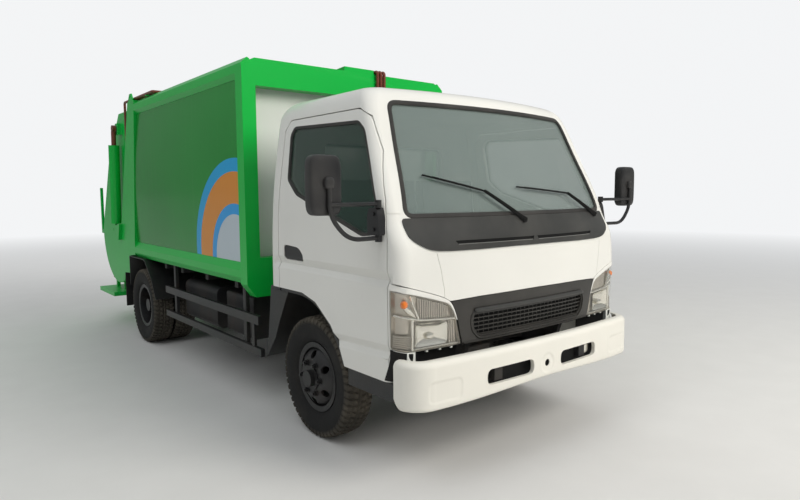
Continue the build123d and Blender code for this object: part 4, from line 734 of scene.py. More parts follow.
def cab_surface(inset, heights, pressed=False):
    """Rows of points round the cab, moved in by inset.

    The front is a parabola as deep as the bow, each corner a quarter circle, the sides and the back straight lines.
    """
    half, front, rear, corner, bow = (column[:, None] for column in cab_rows(heights).T)
    half, front, rear = half - inset, front + inset, rear - inset
    corner = np.maximum(corner - inset, 0.02)
    back_r = max(REAR_CORNER - inset, 0.012)
    flat, edge = half - corner, front + bow
    t = np.linspace(-1.0, 1.0, 41)[None]
    a = np.linspace(0.0, np.pi / 2, 10)[None, 1:]
    s = np.linspace(0.0, 1.0, 20)[None, 1:]
    ones = np.ones_like(half)
    front_x, front_y = flat * t, edge - bow * (1 - t ** 2)
    corner_x, corner_y = flat + corner * np.sin(a), edge + corner - corner * np.cos(a)
    side_x = half * np.ones_like(s)
    side_y = (edge + corner) + (rear - back_r - edge - corner) * s
    if pressed:
        corner_x = corner_x + crease(heights[:, None], corner_y)
        side_x = side_x + crease(heights[:, None], side_y)
    rear_x, rear_y = half - back_r + back_r * np.cos(a), rear - back_r + back_r * np.sin(a)
    left_x = np.concatenate([corner_x, side_x, rear_x], 1)
    left_y = np.concatenate([corner_y, side_y, rear_y], 1)
    back = np.linspace(1.0, -1.0, 9)[None, 1:-1]
    back_x, back_y = (half - back_r) * back, rear * ones * np.ones_like(back)
    x = np.concatenate([front_x, left_x, back_x, -left_x[:, ::-1]], 1)
    y = np.concatenate([front_y, left_y, back_y, left_y[:, ::-1]], 1)
    z = np.broadcast_to(heights[:, None], x.shape)
    return np.stack([x, y - AXLE, z], -1)


def cab_form(inset, low=0.56, pressed=False, rows=60):
    """The closed cab form at an inset: rows spaced evenly to the eaves and by a sine above, and a parabolic crown."""
    top = CAB_ROWS[-1, 0]
    roof = EAVES + (top - EAVES) * np.sin(np.linspace(0, np.pi / 2, 14)[1:])
    heights = np.concatenate([np.linspace(low, EAVES, rows), roof])
    if pressed:
        heights = np.union1d(heights, PRESSED_ROWS)
    surface = cab_surface(inset, heights, pressed)
    lift = np.clip((surface[..., 2:] - ROOF_FOOT) / (top - ROOF_FOOT), 0.0, 1.0)
    surface = surface - np.array([0.0, 0.0, inset]) * lift
    last = surface[-1]
    middle = last.mean(0)
    crown = [middle + (last - middle) * share + np.array([0.0, 0.0, ROOF_CROWN * (1 - share ** 2)])
             for share in (0.8, 0.55, 0.3, 0.08)]
    surface = np.concatenate([surface, np.array(crown)])
    return Form().grid(surface, wrap_v=True, caps=True)


def front_at(x, z):
    """Station of the cab's front at widths and heights: the bow's parabola, and past it the corner's circle."""
    x, z = np.broadcast_arrays(np.asarray(x, float), np.asarray(z, float))
    half, front, rear, corner, bow = cab_rows(z.ravel()).T
    flat, across = half - corner, np.abs(x.ravel())
    on_bow = front + bow * (across / flat) ** 2
    off = np.clip(across - flat, 0.0, corner * 0.999)
    on_corner = front + bow + corner - np.sqrt(corner ** 2 - off ** 2)
    return np.where(across <= flat, on_bow, on_corner).reshape(x.shape)


def side_at(y, z):
    """Half width of the cab at stations and heights: the corner's circle, and behind it the straight side."""
    y, z = np.broadcast_arrays(np.asarray(y, float), np.asarray(z, float))
    half, front, rear, corner, bow = cab_rows(z.ravel()).T
    edge = front + bow + corner
    back = np.clip(edge - y.ravel(), 0.0, corner * 0.999)
    return (half - corner + np.sqrt(corner ** 2 - back ** 2)).reshape(y.shape)


def on_side(outline, side, lift):
    """Points of stations and heights laid on the cab's side, lifted off it."""
    x = side * (side_at(outline[:, 0], outline[:, 1]) + crease(outline[:, 1], outline[:, 0]) + lift)
    return np.stack([x, outline[:, 0] - AXLE, outline[:, 1]], 1)


def on_front(outline, lift):
    """Points of widths and heights laid on the cab's front, lifted off it."""
    return np.stack([outline[:, 0], front_at(outline[:, 0], outline[:, 1]) - lift - AXLE, outline[:, 1]], 1)


def on_back(points, lift):
    """Points of widths and heights laid on the cab's straight back, lifted off it."""
    rear = cab_rows(points[:, 1])[:, 2] + lift
    return np.stack([points[:, 0], rear - AXLE, points[:, 1]], 1)


def across_front(x, z, lift):
    """A line of widths and heights, one of which may be a single number, laid on the cab's front."""
    return on_front(np.stack(np.broadcast_arrays(x, z), 1), lift)


def round_front(points, lift, side):
    """Points of widths along the surface and heights, laid on the front's parabola and its corner's circle."""
    half, front, rear, corner, bow = cab_rows(points[:, 1]).T
    flat, wide = half - corner, np.abs(points[:, 0])
    turn = np.clip((wide - flat) / corner, 0.0, np.pi / 2)
    reach = np.minimum(wide, flat)
    x = side * np.sign(points[:, 0]) * (reach + (corner + lift) * np.sin(turn))
    y = front + bow * (reach / flat) ** 2 + corner - (corner + lift) * np.cos(turn)
    return np.stack([x, y - AXLE, points[:, 1]], 1)


def unrolled(outline):
    """An outline seen from the front, with its widths past the corner's start measured along the surface."""
    outline = np.asarray(outline, float)
    half, front, rear, corner, bow = cab_rows(outline[:, 1]).T
    off = np.clip((outline[:, 0] - half + corner) / corner, 0.0, 0.992)
    return np.stack([np.minimum(outline[:, 0], half - corner) + corner * np.arcsin(off), outline[:, 1]], 1)


def on_bumper(points, lift):
    """Points of distances along the bumper's face and heights: a parabola, a quarter circle, a straight end."""
    along = np.abs(points[..., 0])
    turn = np.clip((along - BUMPER_FLAT) / BUMPER_CORNER, 0.0, np.pi / 2)
    past = np.maximum(along - BUMPER_FLAT - BUMPER_CORNER * np.pi / 2, 0.0)
    reach = np.minimum(along, BUMPER_FLAT)
    x = np.sign(points[..., 0]) * (reach + (BUMPER_CORNER + lift) * np.sin(turn))
    y = BUMPER_FRONT + BUMPER_BOW * (reach / BUMPER_FLAT) ** 2 + BUMPER_CORNER - (BUMPER_CORNER + lift) * np.cos(turn)
    return np.stack([x, y + past - AXLE, points[..., 1]], -1)


def seal(outline, lay, steps):
    """A moulding carried along an outline: steps hold how far out across the surface and how far off it."""
    rows = [lay(offset_outline(outline, out), lift) for out, lift in steps]
    return Form().grid(np.array(rows), wrap_u=True, wrap_v=True)


def under_cab(grow):
    """What the cab leaves open below, larger by grow: arches, floor and engine tunnel."""
    return [prism(ARCH_OUTLINE + ARCH_GROWTH * grow, "x", -1.1, 1.1),
            box(-0.6 - grow, 0.6 + grow, -0.945, 0.0, 0.3, 0.76 + grow),
            box(-0.3 - grow, 0.3 + grow, -0.945, 0.01, 0.29, SEAT_DECK + grow)]


def pane(outline, lay, top, bottom, rings):
    """A closed thin sheet: rings scaled about the outline's middle, laid at one lift and then at the other."""
    outline = np.asarray(outline, float)
    middle = outline.mean(0)
    shares = np.concatenate([np.linspace(0.0, 1.0, rings), np.linspace(1.0, 0.0, rings)])
    lifts = np.concatenate([np.full(rings, top), np.full(rings, bottom)])
    rows = [lay(middle + (outline - middle) * share, lift) for share, lift in zip(shares, lifts)]
    return Form().grid(np.array(rows), wrap_v=True)


def rounded_box(centre, half, power):
    """A box with round corners: a sphere's sines and cosines raised to a small power, kept with their signs."""
    u = np.linspace(0.0, 2 * np.pi, 40, endpoint=False)[None]
    v = np.linspace(-np.pi / 2, np.pi / 2, 24)[:, None]

    def bent(value):
        return np.sign(value) * np.abs(value) ** power

    ball = np.stack([bent(np.cos(v)) * bent(np.cos(u)), bent(np.cos(v)) * bent(np.sin(u)),
                     bent(np.sin(v)) * np.ones_like(u)], -1)
    return Form().grid(np.asarray(centre) + ball * np.asarray(half), wrap_v=True)


FINISH = {}


def make_finishes(look):
    """Every finish of the truck, from the colours in the panel."""
    white, green = tuple(look.cab_colour), tuple(look.body_colour)
    FINISH.update(
        cab=painted("cab_white", white, rough=0.30, coat=0.35, dust=0.16, dust_top=1.1),
        # The bumper's paint is the cab's white warmed a little, a painted warm reflection of the ground, with road
        # dust as on the cab
        bumper=painted("bumper_white_warm_reflection", tuple(c * k for c, k in zip(white, (1.0, 0.985, 0.95))), rough=0.36,
                       coat=0.25, dust=0.20, dust_top=0.8),
        green=painted("body_green", green, rough=0.32, coat=0.15, dust=0.10, dust_top=1.1,
                      dust_tint=(0.20, 0.26, 0.16)),
        worn_green=painted("worn_green", tuple(c * 0.7 for c in green), rough=0.48, coat=0.1, dust=0.55,
                           dust_top=2.4, dust_tint=(0.18, 0.16, 0.12)),
        side=striped_side("side_green", tuple(look.side_colour)),
        front_wall=painted("front_wall_grey", (0.82, 0.84, 0.80), rough=0.35, coat=0.2, dust=0.25, dust_top=2.0),
        chassis=rough_steel("chassis_black", (0.016, 0.016, 0.018), rust=0.08, dust=0.35),
        guard=rough_steel("guard_black", (0.015, 0.016, 0.017), rust=0.04, dust=0.25, rough=0.42),
        cast=rough_steel("cast_iron", (0.035, 0.033, 0.031), rust=0.30, dust=0.4, rough=0.7),
        wheel=rough_steel("wheel_steel", (0.011, 0.012, 0.014), rust=0.06, dust=0.20, rough=0.40),
        ram=bright("ram_chrome", (0.72, 0.72, 0.73)),
        plastic=plastic("black_plastic", (0.014, 0.014, 0.015), rough=0.42),
        # Matt black: the wipers' own plastic, and the dark sheets that paint shade in the slots, behind grille and
        # bumper and under the cab
        matt=plastic("matt_black", (0.006, 0.006, 0.006), rough=0.85, grain_scale=200.0, dust=0.05, bump=0.05),
        # A light grey that paints the highlight on the ledges under the cowl's slots
        ledge=plastic("ledge_painted_highlight", (0.16, 0.16, 0.15), rough=0.45, grain_scale=420.0, dust=0.20, bump=0.10),
        cowl=plastic("cowl_grey", (0.038, 0.038, 0.036), rough=0.46, grain_scale=420.0, dust=0.20, bump=0.10),
        grille=plastic("grille_grey", (0.026, 0.024, 0.021), rough=0.36, grain_scale=260.0, dust=0.15, bump=0.06),
        rubber=plastic("seal_rubber", (0.030, 0.028, 0.026), rough=0.55, grain_scale=120.0, dust=0.20, bump=0.08),
        glass=clear("window_glass", (0.012, 0.050, 0.032), alpha=0.55),
        screen=clear("screen_glass", (0.25, 0.31, 0.29), alpha=0.46, rough=0.02, haze=0.35),
        lens=clear("lamp_lens", (0.60, 0.59, 0.53), alpha=0.08, rough=0.03, haze=0.10),
        bowl=bright("lamp_bowl", (0.92, 0.89, 0.80), rough=0.16),
        ribbed=bright("lamp_ribbed", (0.66, 0.60, 0.52), rough=0.30),
        amber=clear("amber_lens", (0.80, 0.19, 0.012), alpha=0.96, rough=0.12, haze=0.05),
        red=clear("red_lens", (0.42, 0.012, 0.010), alpha=0.96, rough=0.10, haze=0.1),
        mirror=bright("mirror_glass", (0.75, 0.78, 0.79), rough=0.03),
        pipe=rough_steel("pipe_brown", (0.20, 0.050, 0.030), rust=0.15, dust=0.1, rough=0.35),
        seat=cloth("seat_cloth", (0.055, 0.057, 0.062)),
        front_tyre=tyre_rubber("front_tyre", 0.0),
        rear_tyre=tyre_rubber("rear_tyre", WHEELBASE),
    )


def finish(name):
    """A finish by its short name."""
    if not FINISH:
        make_finishes(bpy.context.scene.truck_look)
    return FINISH[name]


# Sizes and colours

class TruckLook(bpy.types.PropertyGroup):
    """Sizes and colours of the truck's dressing."""

    cab_colour: bpy.props.FloatVectorProperty(
        name="Cab", description="Paint of the cab", default=(0.80, 0.79, 0.745), subtype="COLOR", min=0.0, max=1.0)
    body_colour: bpy.props.FloatVectorProperty(
        name="Body", description="Paint of the body's frame", default=(0.003, 0.48, 0.058), subtype="COLOR",
        min=0.0, max=1.0)
    side_colour: bpy.props.FloatVectorProperty(
        name="Side panel", description="Paint of the body's side panels", default=(0.009, 0.27, 0.031),
        subtype="COLOR", min=0.0, max=1.0)
    sheet_edge: bpy.props.FloatProperty(
        name="Sheet edge", description="Radius on the edges of folded sheet", default=0.004, unit="LENGTH")
    lug_depth: bpy.props.FloatProperty(
        name="Lug depth", description="Depth of the tyres' tread", default=0.012, unit="LENGTH")
    lug_count: bpy.props.IntProperty(
        name="Lugs", description="Lugs round each tyre", default=54)
    seal_width: bpy.props.FloatProperty(
        name="Seal width", description="Width of the windscreen's rubber", default=0.020, unit="LENGTH")
    mesh_bars: bpy.props.IntProperty(
        name="Grille bars", description="Upright bars of the grille's mesh", default=27)


class Builder:
    """What the build operators share."""

    bl_options = {"REGISTER"}

    @classmethod
    def poll(cls, context):
        return bool(frame["nodes"])


# Stage

class TRUCK_OT_stage(Builder, bpy.types.Operator):
    """Lays the pale floor, hangs the soft lights and sets the sky"""
    bl_idname = "truck.stage"
    bl_label = "Stage"

    def execute(self, context):
        scene = context.scene
        scene.view_settings.view_transform = "Standard"
        self.lay_floor(scene)
        self.light_world(scene)
        for name, place, size, energy, colour in LIGHTS:
            lamp = bpy.data.lights.new(name, "AREA")
            lamp.shape, lamp.size, lamp.energy, lamp.color = "DISK", size, energy, colour
            light = bpy.data.objects.new(name, lamp)
            light.location = place
            light.visible_glossy = False
            scene.collection.objects.link(light)
            light.rotation_euler = (Vector(LIT_POINT) - light.location).to_track_quat("-Z", "Y").to_euler()
        return {"FINISHED"}

    def lay_floor(self, scene):
        """A pale flat disc, which fades to the background's colour far from the truck."""
        p = Paint("studio_floor")
        x, y = p.split(p.place())[:2]
        far = ((x * x + y * y) ** 0.5).above(FADE_MIDDLE, FADE_WIDTH)
        ground = p.node("ShaderNodeBsdfPrincipled", None, {
            "Base Color": p.mix(p.noise(3.0, 5.0), (0.66, 0.65, 0.63), (0.72, 0.71, 0.69)), "Roughness": 0.85})
        pale = p.node("ShaderNodeEmission", None, {"Color": BACKGROUND, "Strength": 1.0})
        seen = p.node("ShaderNodeLightPath", output="Is Camera Ray")
        p.end(p.node("ShaderNodeMixShader", None, {0: far * seen, 1: ground, 2: pale}))
        radius = np.linspace(0.0, FLOOR_RADIUS, 10)[:, None]
        turn = np.linspace(0.0, 2 * np.pi, 64, endpoint=False)[None]
        disc = np.stack([radius * np.cos(turn), radius * np.sin(turn), np.zeros_like(radius * turn)], -1)
        mesh = Form().grid(disc, wrap_v=True).mesh("studio_floor")
        mesh.materials.append(p.owner)
        if mesh.polygons[0].normal.z < 0:
            mesh.flip_normals()
        floor = bpy.data.objects.new("studio_floor", mesh)
        scene.collection.objects.link(floor)
        floor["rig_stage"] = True

    def light_world(self, scene):
        """A soft sky: pale overhead, dimmer at the horizon, and plain pale where the camera sees it."""
        scene.world = bpy.data.worlds.new("studio")
        p = Paint("studio", scene.world)
        up = p.split(p.node("ShaderNodeTexCoord", output="Generated"))[2]
        sky = p.mix(up.above(0.40, 1.0), (0.26, 0.27, 0.26), (0.80, 0.83, 0.86))
        seen = p.node("ShaderNodeLightPath", output="Is Camera Ray")
        p.end(p.node("ShaderNodeBackground", None, {
            "Color": p.mix(seen, sky, BACKGROUND), "Strength": 0.72 + 0.28 * seen}), "ShaderNodeOutputWorld")


def aim_camera():
    """The camera stands before the truck's right front corner: the columns of its pose are its own three axes."""
    yaw, pitch, roll = (math.radians(angle) for angle in CAMERA_ANGLES)
    forward = np.array([math.sin(yaw) * math.cos(pitch), math.cos(yaw) * math.cos(pitch), -math.sin(pitch)])
    right = np.array([math.cos(yaw), -math.sin(yaw), 0.0])
    down = np.cross(forward, right)
    across = math.cos(roll) * right + math.sin(roll) * down
    upward = math.sin(roll) * right - math.cos(roll) * down
    data = bpy.data.cameras.new("photo_view")
    data.lens, data.sensor_width = CAMERA_LENS, CAMERA_SENSOR
    camera = bpy.data.objects.new("photo_view", data)
    pose = np.eye(4)
    pose[:3] = np.stack([across, upward, -forward, CAMERA_PLACE], 1)
    camera.matrix_world = pose.T.tolist()
    bpy.context.scene.collection.objects.link(camera)
    bpy.context.scene.camera = camera


# Cab

class TRUCK_OT_cab(Builder, bpy.types.Operator):
    """Builds the cab's pressed skin and its two doors"""
    bl_idname = "truck.cab"
    bl_label = "Cab"

    def execute(self, context):
        outer = cab_form(0.0, pressed=True).mesh("outer")
        inner = cab_form(CAB_WALL, low=0.4, rows=24).mesh("inner")
        deep = cab_form(LAMP_DEPTH, low=0.5, rows=20).mesh("deep")
        under = cab_form(SEAM_DEPTH, low=0.5, rows=40).mesh("under")
        cutters = [
            solid_of(cab_form(CAB_WALL, low=0.61, rows=24), under_cab(CAB_WALL)), *under_cab(0.0),
            prism(rounded(SCREEN_OUTLINE, SCREEN_CORNER), "y", -1.3, -0.5),
            prism(rounded(REAR_WINDOW, REAR_WINDOW_CORNER), "y", 0.35, 0.6),
            prism(offset_outline(GRILLE_OUTLINE, 0.002), "y", -1.2, -0.94),
            box(-1.1, 1.1, -1.2, -0.905, 0.4, 0.731),
        ]
        for side, _ in SIDES:
            lamp = prism(offset_outline(LAMP_OUTLINE, 0.0025) * (side, 1.0), "y", -1.2, -0.855)
            groove = np.concatenate([FRONT_SEAM - SEAM_HALF, FRONT_SEAM[::-1] + SEAM_HALF]) * (side, 1.0)
            lines = (prism(groove, "y", -1.2, -0.88), box(*span(side, 0.895, 1.1), -1.2, -0.78, 1.4435, 1.446))
            cutters += [self.door_space(0.0, side), solid_of(lamp, [deep])]
            cutters += [solid_of(line, [under]) for line in lines]
        show("cab_skin", solid_of(outer, cutters), "cab", "cab", ("cab_shell",), CAB_ANGLE)
        for side, name in SIDES:
            self.build_door(side, name, outer, inner)
            self.build_lip(side, f"arch_lip_{name}", f"door_{name}", rounded(ARCH_LIP, 0.12, 10, closed=False))
            self.build_lip(side, f"corner_lip_{name}", "cab", CORNER_LIP)
        return {"FINISHED"}

    def build_lip(self, side, name, body, path):
        """A black strip under the edge of the wheel arch: an oblong section carried along the path."""
        run = np.gradient(path, axis=0)
        inward = np.stack([run[:, 1], -run[:, 0]], 1) / np.linalg.norm(run, axis=1, keepdims=True)
        rows = []
        for depth, x in LIP_SECTION:
            points = path + inward * depth
            rows.append(np.stack([np.full(len(path), side * x), points[:, 0] - AXLE, points[:, 1]], 1))
        strip = Form().grid(np.array(rows).transpose(1, 0, 2), wrap_v=True, caps=True)
        show(name, strip, "plastic", body)

    def door_space(self, gap, side):
        """The space of one door, smaller by gap all round."""
        outline = offset_outline(dense(rounded(DOOR_OUTLINE, 0.03), 0.08), -gap) if gap else DOOR_OUTLINE
        bound = prism((DOOR_INNER + (gap / 2, 0.0)) * (side, 1.0), "y", -1.2, 0.7)
        return solid_of(prism(outline, "x", *span(side, 0.6, 1.1)), [], within=bound)

    def build_door(self, side, name, outer, inner):
        """One door: the pressed skin within the door's outline, with its window and handle pocket cut."""
        pocket = rounded(HANDLE_POCKET, 0.034, 8)
        cutters = [
            inner, *under_cab(0.0),
            prism(dense(rounded(WINDOW_OUTLINE, WINDOW_CORNER), 0.08), "x", *span(side, 0.72, 1.13)),
            prism(pocket, "x", *span(side, 0.963, 1.1)),
            box(*span(side, 0.6, 0.931), -0.9, 0.4, 0.4, 0.616),
        ]
        door = solid_of(self.door_space(SHUT_GAP, side), cutters, within=outer)
        show(f"door_skin_{name}", door, "cab", f"door_{name}", (f"door_{name}",), CAB_ANGLE)
        flap = pane(dense(offset_outline(pocket, -0.004), 0.02),
                    lambda points, lift: on_side(points, side, lift - 0.005), 0.0, -0.012, 5)
        show(f"door_handle_{name}", flap, "plastic", f"door_{name}")


class TRUCK_OT_glass(Builder, bpy.types.Operator):
    """Sets the windscreen, the rear window and the door windows in their rubber"""
    bl_idname = "truck.glass"
    bl_label = "Glass"

    def execute(self, context):
        wide = context.scene.truck_look.seal_width
        screen = dense(rounded(SCREEN_OUTLINE, SCREEN_CORNER, 10), 0.03)
        steps = ((-wide, -0.010), (-wide, -0.003), (-wide * 0.6, 0.003), (0.0, 0.0045), (0.006, 0.001),
                 (0.006, -0.006), (-0.001, -0.020))
        self.fit("windscreen", "windscreen_seal", screen, on_front, steps, "cab", "screen", ("cab_glass",), 14)
        back = dense(rounded(REAR_WINDOW, REAR_WINDOW_CORNER, 8), 0.03)
        self.fit("rear_window", "rear_window_seal", back, on_back, REAR_SEAL, "cab")
        window = dense(rounded(WINDOW_OUTLINE, WINDOW_CORNER, 6), 0.04)
        for side, name in SIDES:
            self.fit(f"door_window_{name}", f"window_seal_{name}", window,
                     lambda points, lift, side=side: on_side(points, side, lift), DOOR_SEAL, f"door_{name}",
                     hides=(f"door_glass_{name}",))
        return {"FINISHED"}

    def fit(self, name, seal_name, outline, lay, steps, body, paint="glass", hides=(), rings=8):
        """A pane set a little back in its opening, and the rubber round it."""
        show(name, pane(offset_outline(outline, -0.002), lay, -0.012, -0.018, rings), paint, body, hides)
        show(seal_name, seal(outline, lay, steps), "rubber", body)


class TRUCK_OT_front(Builder, bpy.types.Operator):
    """Fits the cowl, the grille's mesh, the headlamps, the bumper and the wipers"""
    bl_idname = "truck.front"
    bl_label = "Front"

    def execute(self, context):
        self.build_cowl()
        self.build_grille(context.scene.truck_look.mesh_bars)
        for side, name in SIDES:
            self.build_lamp(side, name)
            self.build_foot(side, name)
        self.build_bumper()
        self.build_wipers()
        return {"FINISHED"}

    def build_cowl(self):
        """The grey panel under the glass, with two long slots: black floors in them paint shade, lighter ledges paint
        highlights.
        """
        edge = rounded(np.concatenate([COWL_EDGE, (COWL_EDGE * (-1.0, 1.0))[::-1]]), 0.02, 5)
        slots, slot_shades, lit_ledges = [], [], []
        for side, _ in SIDES:
            slot = rounded(COWL_SLOTS * (side, 1.0), 0.005, 4)
            slots.append(prism(slot, "y", -1.2, -0.8))
            # The slots' black floors are painted shade
            slot_shades.append(pane(dense(offset_outline(slot, 0.004), 0.03), on_front, 0.0022, -0.001, 14))
            # A light grey rod along each slot's lower edge: a painted highlight
            lit_ledges.append(tube(across_front(np.linspace(0.030, 0.600, 30) * side, 1.2768, 0.0052), 0.0028, 8))
        panel = solid_of(pane(dense(edge, 0.03), on_front, 0.008, -0.004, 16), slots)
        show("cowl_skin", panel, "cowl", "cab", ("cowl_panel",), 40.0)
        show("cowl_slot_shade", join(*slot_shades), "matt", "cab")
        show("cowl_ledge_highlights", join(*lit_ledges), "ledge", "cab")

    def build_grille(self, bars):
        """A dark panel with a rail over a rounded field of mesh, whose bars follow the bowed front."""
        field = dense(rounded(GRILLE_FIELD, 0.02, 5), 0.03)
        edge = dense(offset_outline(rounded(GRILLE_OUTLINE, 0.01, 4), -0.0015), 0.03)
        panel = solid_of(pane(edge, on_front, 0.003, -0.022, 12), [prism(field, "y", -1.3, -0.9)])
        show("grille_panel", panel, "grille", "cab", ("grille",), 30.0)
        # The rail narrows on a quarter circle over the last 20 mm of each end
        x = np.concatenate([[-0.500, -0.499, -0.495], np.linspace(-0.48, 0.48, 50), [0.495, 0.499, 0.500]])
        thick = 0.015 * np.sqrt(np.clip(1.0 - ((np.abs(x) - 0.480) / 0.021).clip(0.0) ** 2, 0.02, 1.0))
        show("grille_rail", tube(across_front(x, 0.908, 0.009), thick, 14), "cowl", "cab", angle=60.0)
        frames = [seal(field, on_front, steps) for steps in GRILLE_FRAMES]
        frames.append(tube(across_front(np.linspace(-0.570, 0.570, 60), 0.736, 0.003), 0.0065, 8))
        show("grille_frames", join(*frames), "grille", "cab", angle=50.0)
        wires = []
        for x in np.linspace(-0.486, 0.486, bars):
            low = 0.762 + max(abs(x) - 0.450, 0.0) * 0.95
            wires.append(tube(across_front(x, np.linspace(low, 0.892, 5), -0.014), 0.0036, 4))
        for z in np.linspace(0.771, 0.886, 6):
            x = np.linspace(-1.0, 1.0, 40) * (0.462 + min(z - 0.757, 0.043) * 0.9)
            wires.append(tube(across_front(x, z, -0.009), 0.0044, 4))
        show("grille_mesh", join(*wires), "grille", "cab")
        # A black sheet behind the mesh: painted shade in the grille's holes
        back = pane(offset_outline(field, 0.012), on_front, -0.026, -0.030, 10)
        show("grille_hole_shade", back, "matt", "cab")

    def build_lamp(self, side, name):
        """A headlamp: plated bucket, dividers, ribs, bowl, marker and amber bulb, a painted rim and a clear lens."""
        def lay(points, lift):
            return round_front(np.asarray(points, float), lift, side)

        def ring(edge, about, share, lift):
            """An outline scaled by share about a point."""
            return lay(about + (edge - about) * share, lift)

        def rod(points, radius, lift, count=12):
            """A round bar along a bent line, with its rings spread evenly over the line's length."""
            ends = unrolled(points)
            reach = np.concatenate([[0.0], np.cumsum(np.linalg.norm(np.diff(ends, axis=0), axis=1))])
            t = np.linspace(0.0, reach[-1], count)
            line = np.stack([np.interp(t, reach, ends[:, 0]), np.interp(t, reach, ends[:, 1])], 1)
            return tube(lay(line, lift), radius, 8)

        outline = dense(rounded(unrolled(LENS_OUTLINE), 0.006, 3), 0.02)
        inset, floor = offset_outline(outline, -0.0015), offset_outline(outline, -0.009)
        middle = inset.mean(0)
        bucket = [lay(offset_outline(outline, out), lift) for out, lift in BUCKET_WALL]
        bucket += [ring(floor, middle, share, -0.032) for share in (0.8, 0.6, 0.4, 0.2, 0.0)]
        bucket += [ring(outline, middle, share, -0.036) for share in (0.0, 0.25, 0.5, 0.75, 1.0)]
        show(f"lamp_bucket_{name}", Form().grid(np.array(bucket), wrap_u=True, wrap_v=True), "ribbed", "cab",
             ("headlamps",), 40.0)
        show(f"lamp_lens_{name}", pane(inset, lay, 0.0025, -0.0015, 14), "lens", "cab")
        top, low = (rounded(unrolled(line), 0.03, 6, closed=False) for line in (LAMP_TOP, LENS_TOP))
        rows = np.array([lay(top + (low - top) * share, lift) for share, lift in RIM_SECTION])
        rim = Form().grid(rows.transpose(1, 0, 2), wrap_v=True, caps=True)
        show(f"lamp_rim_{name}", rim, "cab", "cab")
        rails = [rod([(x, 0.892), (x, np.interp(x, *LENS_TOP.T) - 0.008)], 0.0055, -0.026, 6)
                 for x in np.linspace(0.664, 0.850, 14)]
        rails += [rod([(x - 0.008, 0.748), (x, 0.872)], 0.006, -0.024, 6) for x in (0.622, 0.638, 0.654)]
        rails += [rod([(0.906, z), (0.980, z + 0.004)], 0.0058, -0.012, 8) for z in np.linspace(0.757, 0.812, 6)]
        show(f"lamp_rails_{name}", join(*rails), "ribbed", "cab")
        window = dense(rounded(unrolled(BOWL_OUTLINE), 0.02, 5), 0.012)
        heart = window.mean(0)
        shares = np.linspace(0.0, 1.0, 12)
        # The bowl deepens with the cube of the share, once for its front and back again for its rear
        dish = [ring(window, heart, share, -0.029 + 0.020 * share ** 3) for share in shares]
        dish += [ring(window, heart, share, -0.0305 + 0.020 * share ** 3) for share in shares[::-1]]
        bowls = join(Form().grid(np.array(dish), wrap_v=True),
                     tube(lay(unrolled(MARKER_LINE), -0.020), np.array([0.019, 0.019, 0.013, 0.005]), 14),
                     rounded_box(lay([heart + (0.0, -0.012)], -0.018)[0], (0.024, 0.010, 0.017), 0.8),
                     *(rod(points, radius, lift) for points, radius, lift in LAMP_DIVIDERS))
        show(f"lamp_bowls_{name}", bowls, "bowl", "cab", angle=50.0)
        bulb = rounded_box(lay(unrolled([(0.943, 0.981)]), -0.014)[0], (0.019, 0.019, 0.021), 0.85)
        show(f"lamp_amber_{name}", bulb, "amber", "cab")

    def build_foot(self, side, name):
        """What shows between lamp and bumper: the lamp's tabs, and dark sheets over the cab's foot and corner as
        painted shade.
        """
        tabs = [box(*span(side, 0.875, 0.930), -0.935, -0.905, 0.660, 0.732)]
        for x in (0.800, 0.716, 0.640):
            y = float(front_at(x, 0.725))
            tabs.append(box(*span(side, x - 0.008, x + 0.008), y + 0.010, y + 0.022, 0.718, 0.732))
        show(f"lamp_tabs_{name}", join(*tabs), "front_wall", "cab", bevel=0.002)
        # Black sheets over the cab's foot and corner: painted shade of the space under the cab
        under_shade = box(*span(side, 0.560, 0.955), -0.912, -0.9055, 0.572, 0.7295)
        show(f"foot_shade_sheet_{name}", under_shade, "matt", "cab", bevel=0.002)
        edge = dense(unrolled([(0.895, 0.724), (1.020, 0.744), (1.020, 0.568), (0.895, 0.568)]), 0.02)
        corner = pane(edge, lambda points, lift: round_front(points, lift, side), 0.002, -0.004, 6)
        show(f"corner_shade_sheet_{name}", corner, "matt", "cab")

    def build_bumper(self):
        """A thin bowed bumper with rolled top edge, two slots, pressed corners, and a dark sheet of painted shade
        behind.

        Its section runs up the outside and back down the inside, as depths behind the face and heights: a quarter
        oval at the foot, the face, a quarter circle at the top and a short lip behind it.
        """
        end = BUMPER_FLAT + BUMPER_CORNER * np.pi / 2 + BUMPER_ENDS - (BUMPER_FRONT + BUMPER_BOW + BUMPER_CORNER)
        along = np.linspace(-end, end, 381)[:, None]
        wide, ones = np.abs(along), np.ones_like(along)
        # The foot lies 24 mm higher in the middle than out at the sides, and 40 mm higher at the very ends
        rise = np.clip((0.80 - wide) / 0.80, 0.0, 1.0)
        tip = np.clip((wide - end + 0.05) / 0.05, 0.0, 1.0)
        low = 0.446 + 0.024 * rise ** 2 * (3 - 2 * rise) + 0.040 * tip ** 2
        curl, roll = np.linspace(0, np.pi / 2, 5)[None], np.linspace(0, np.pi / 2, 8)[None, 1:]
        face = low + 0.020 + (BUMPER_TOP - 0.053 - low) * np.linspace(0, 1, 34)[None, 1:]
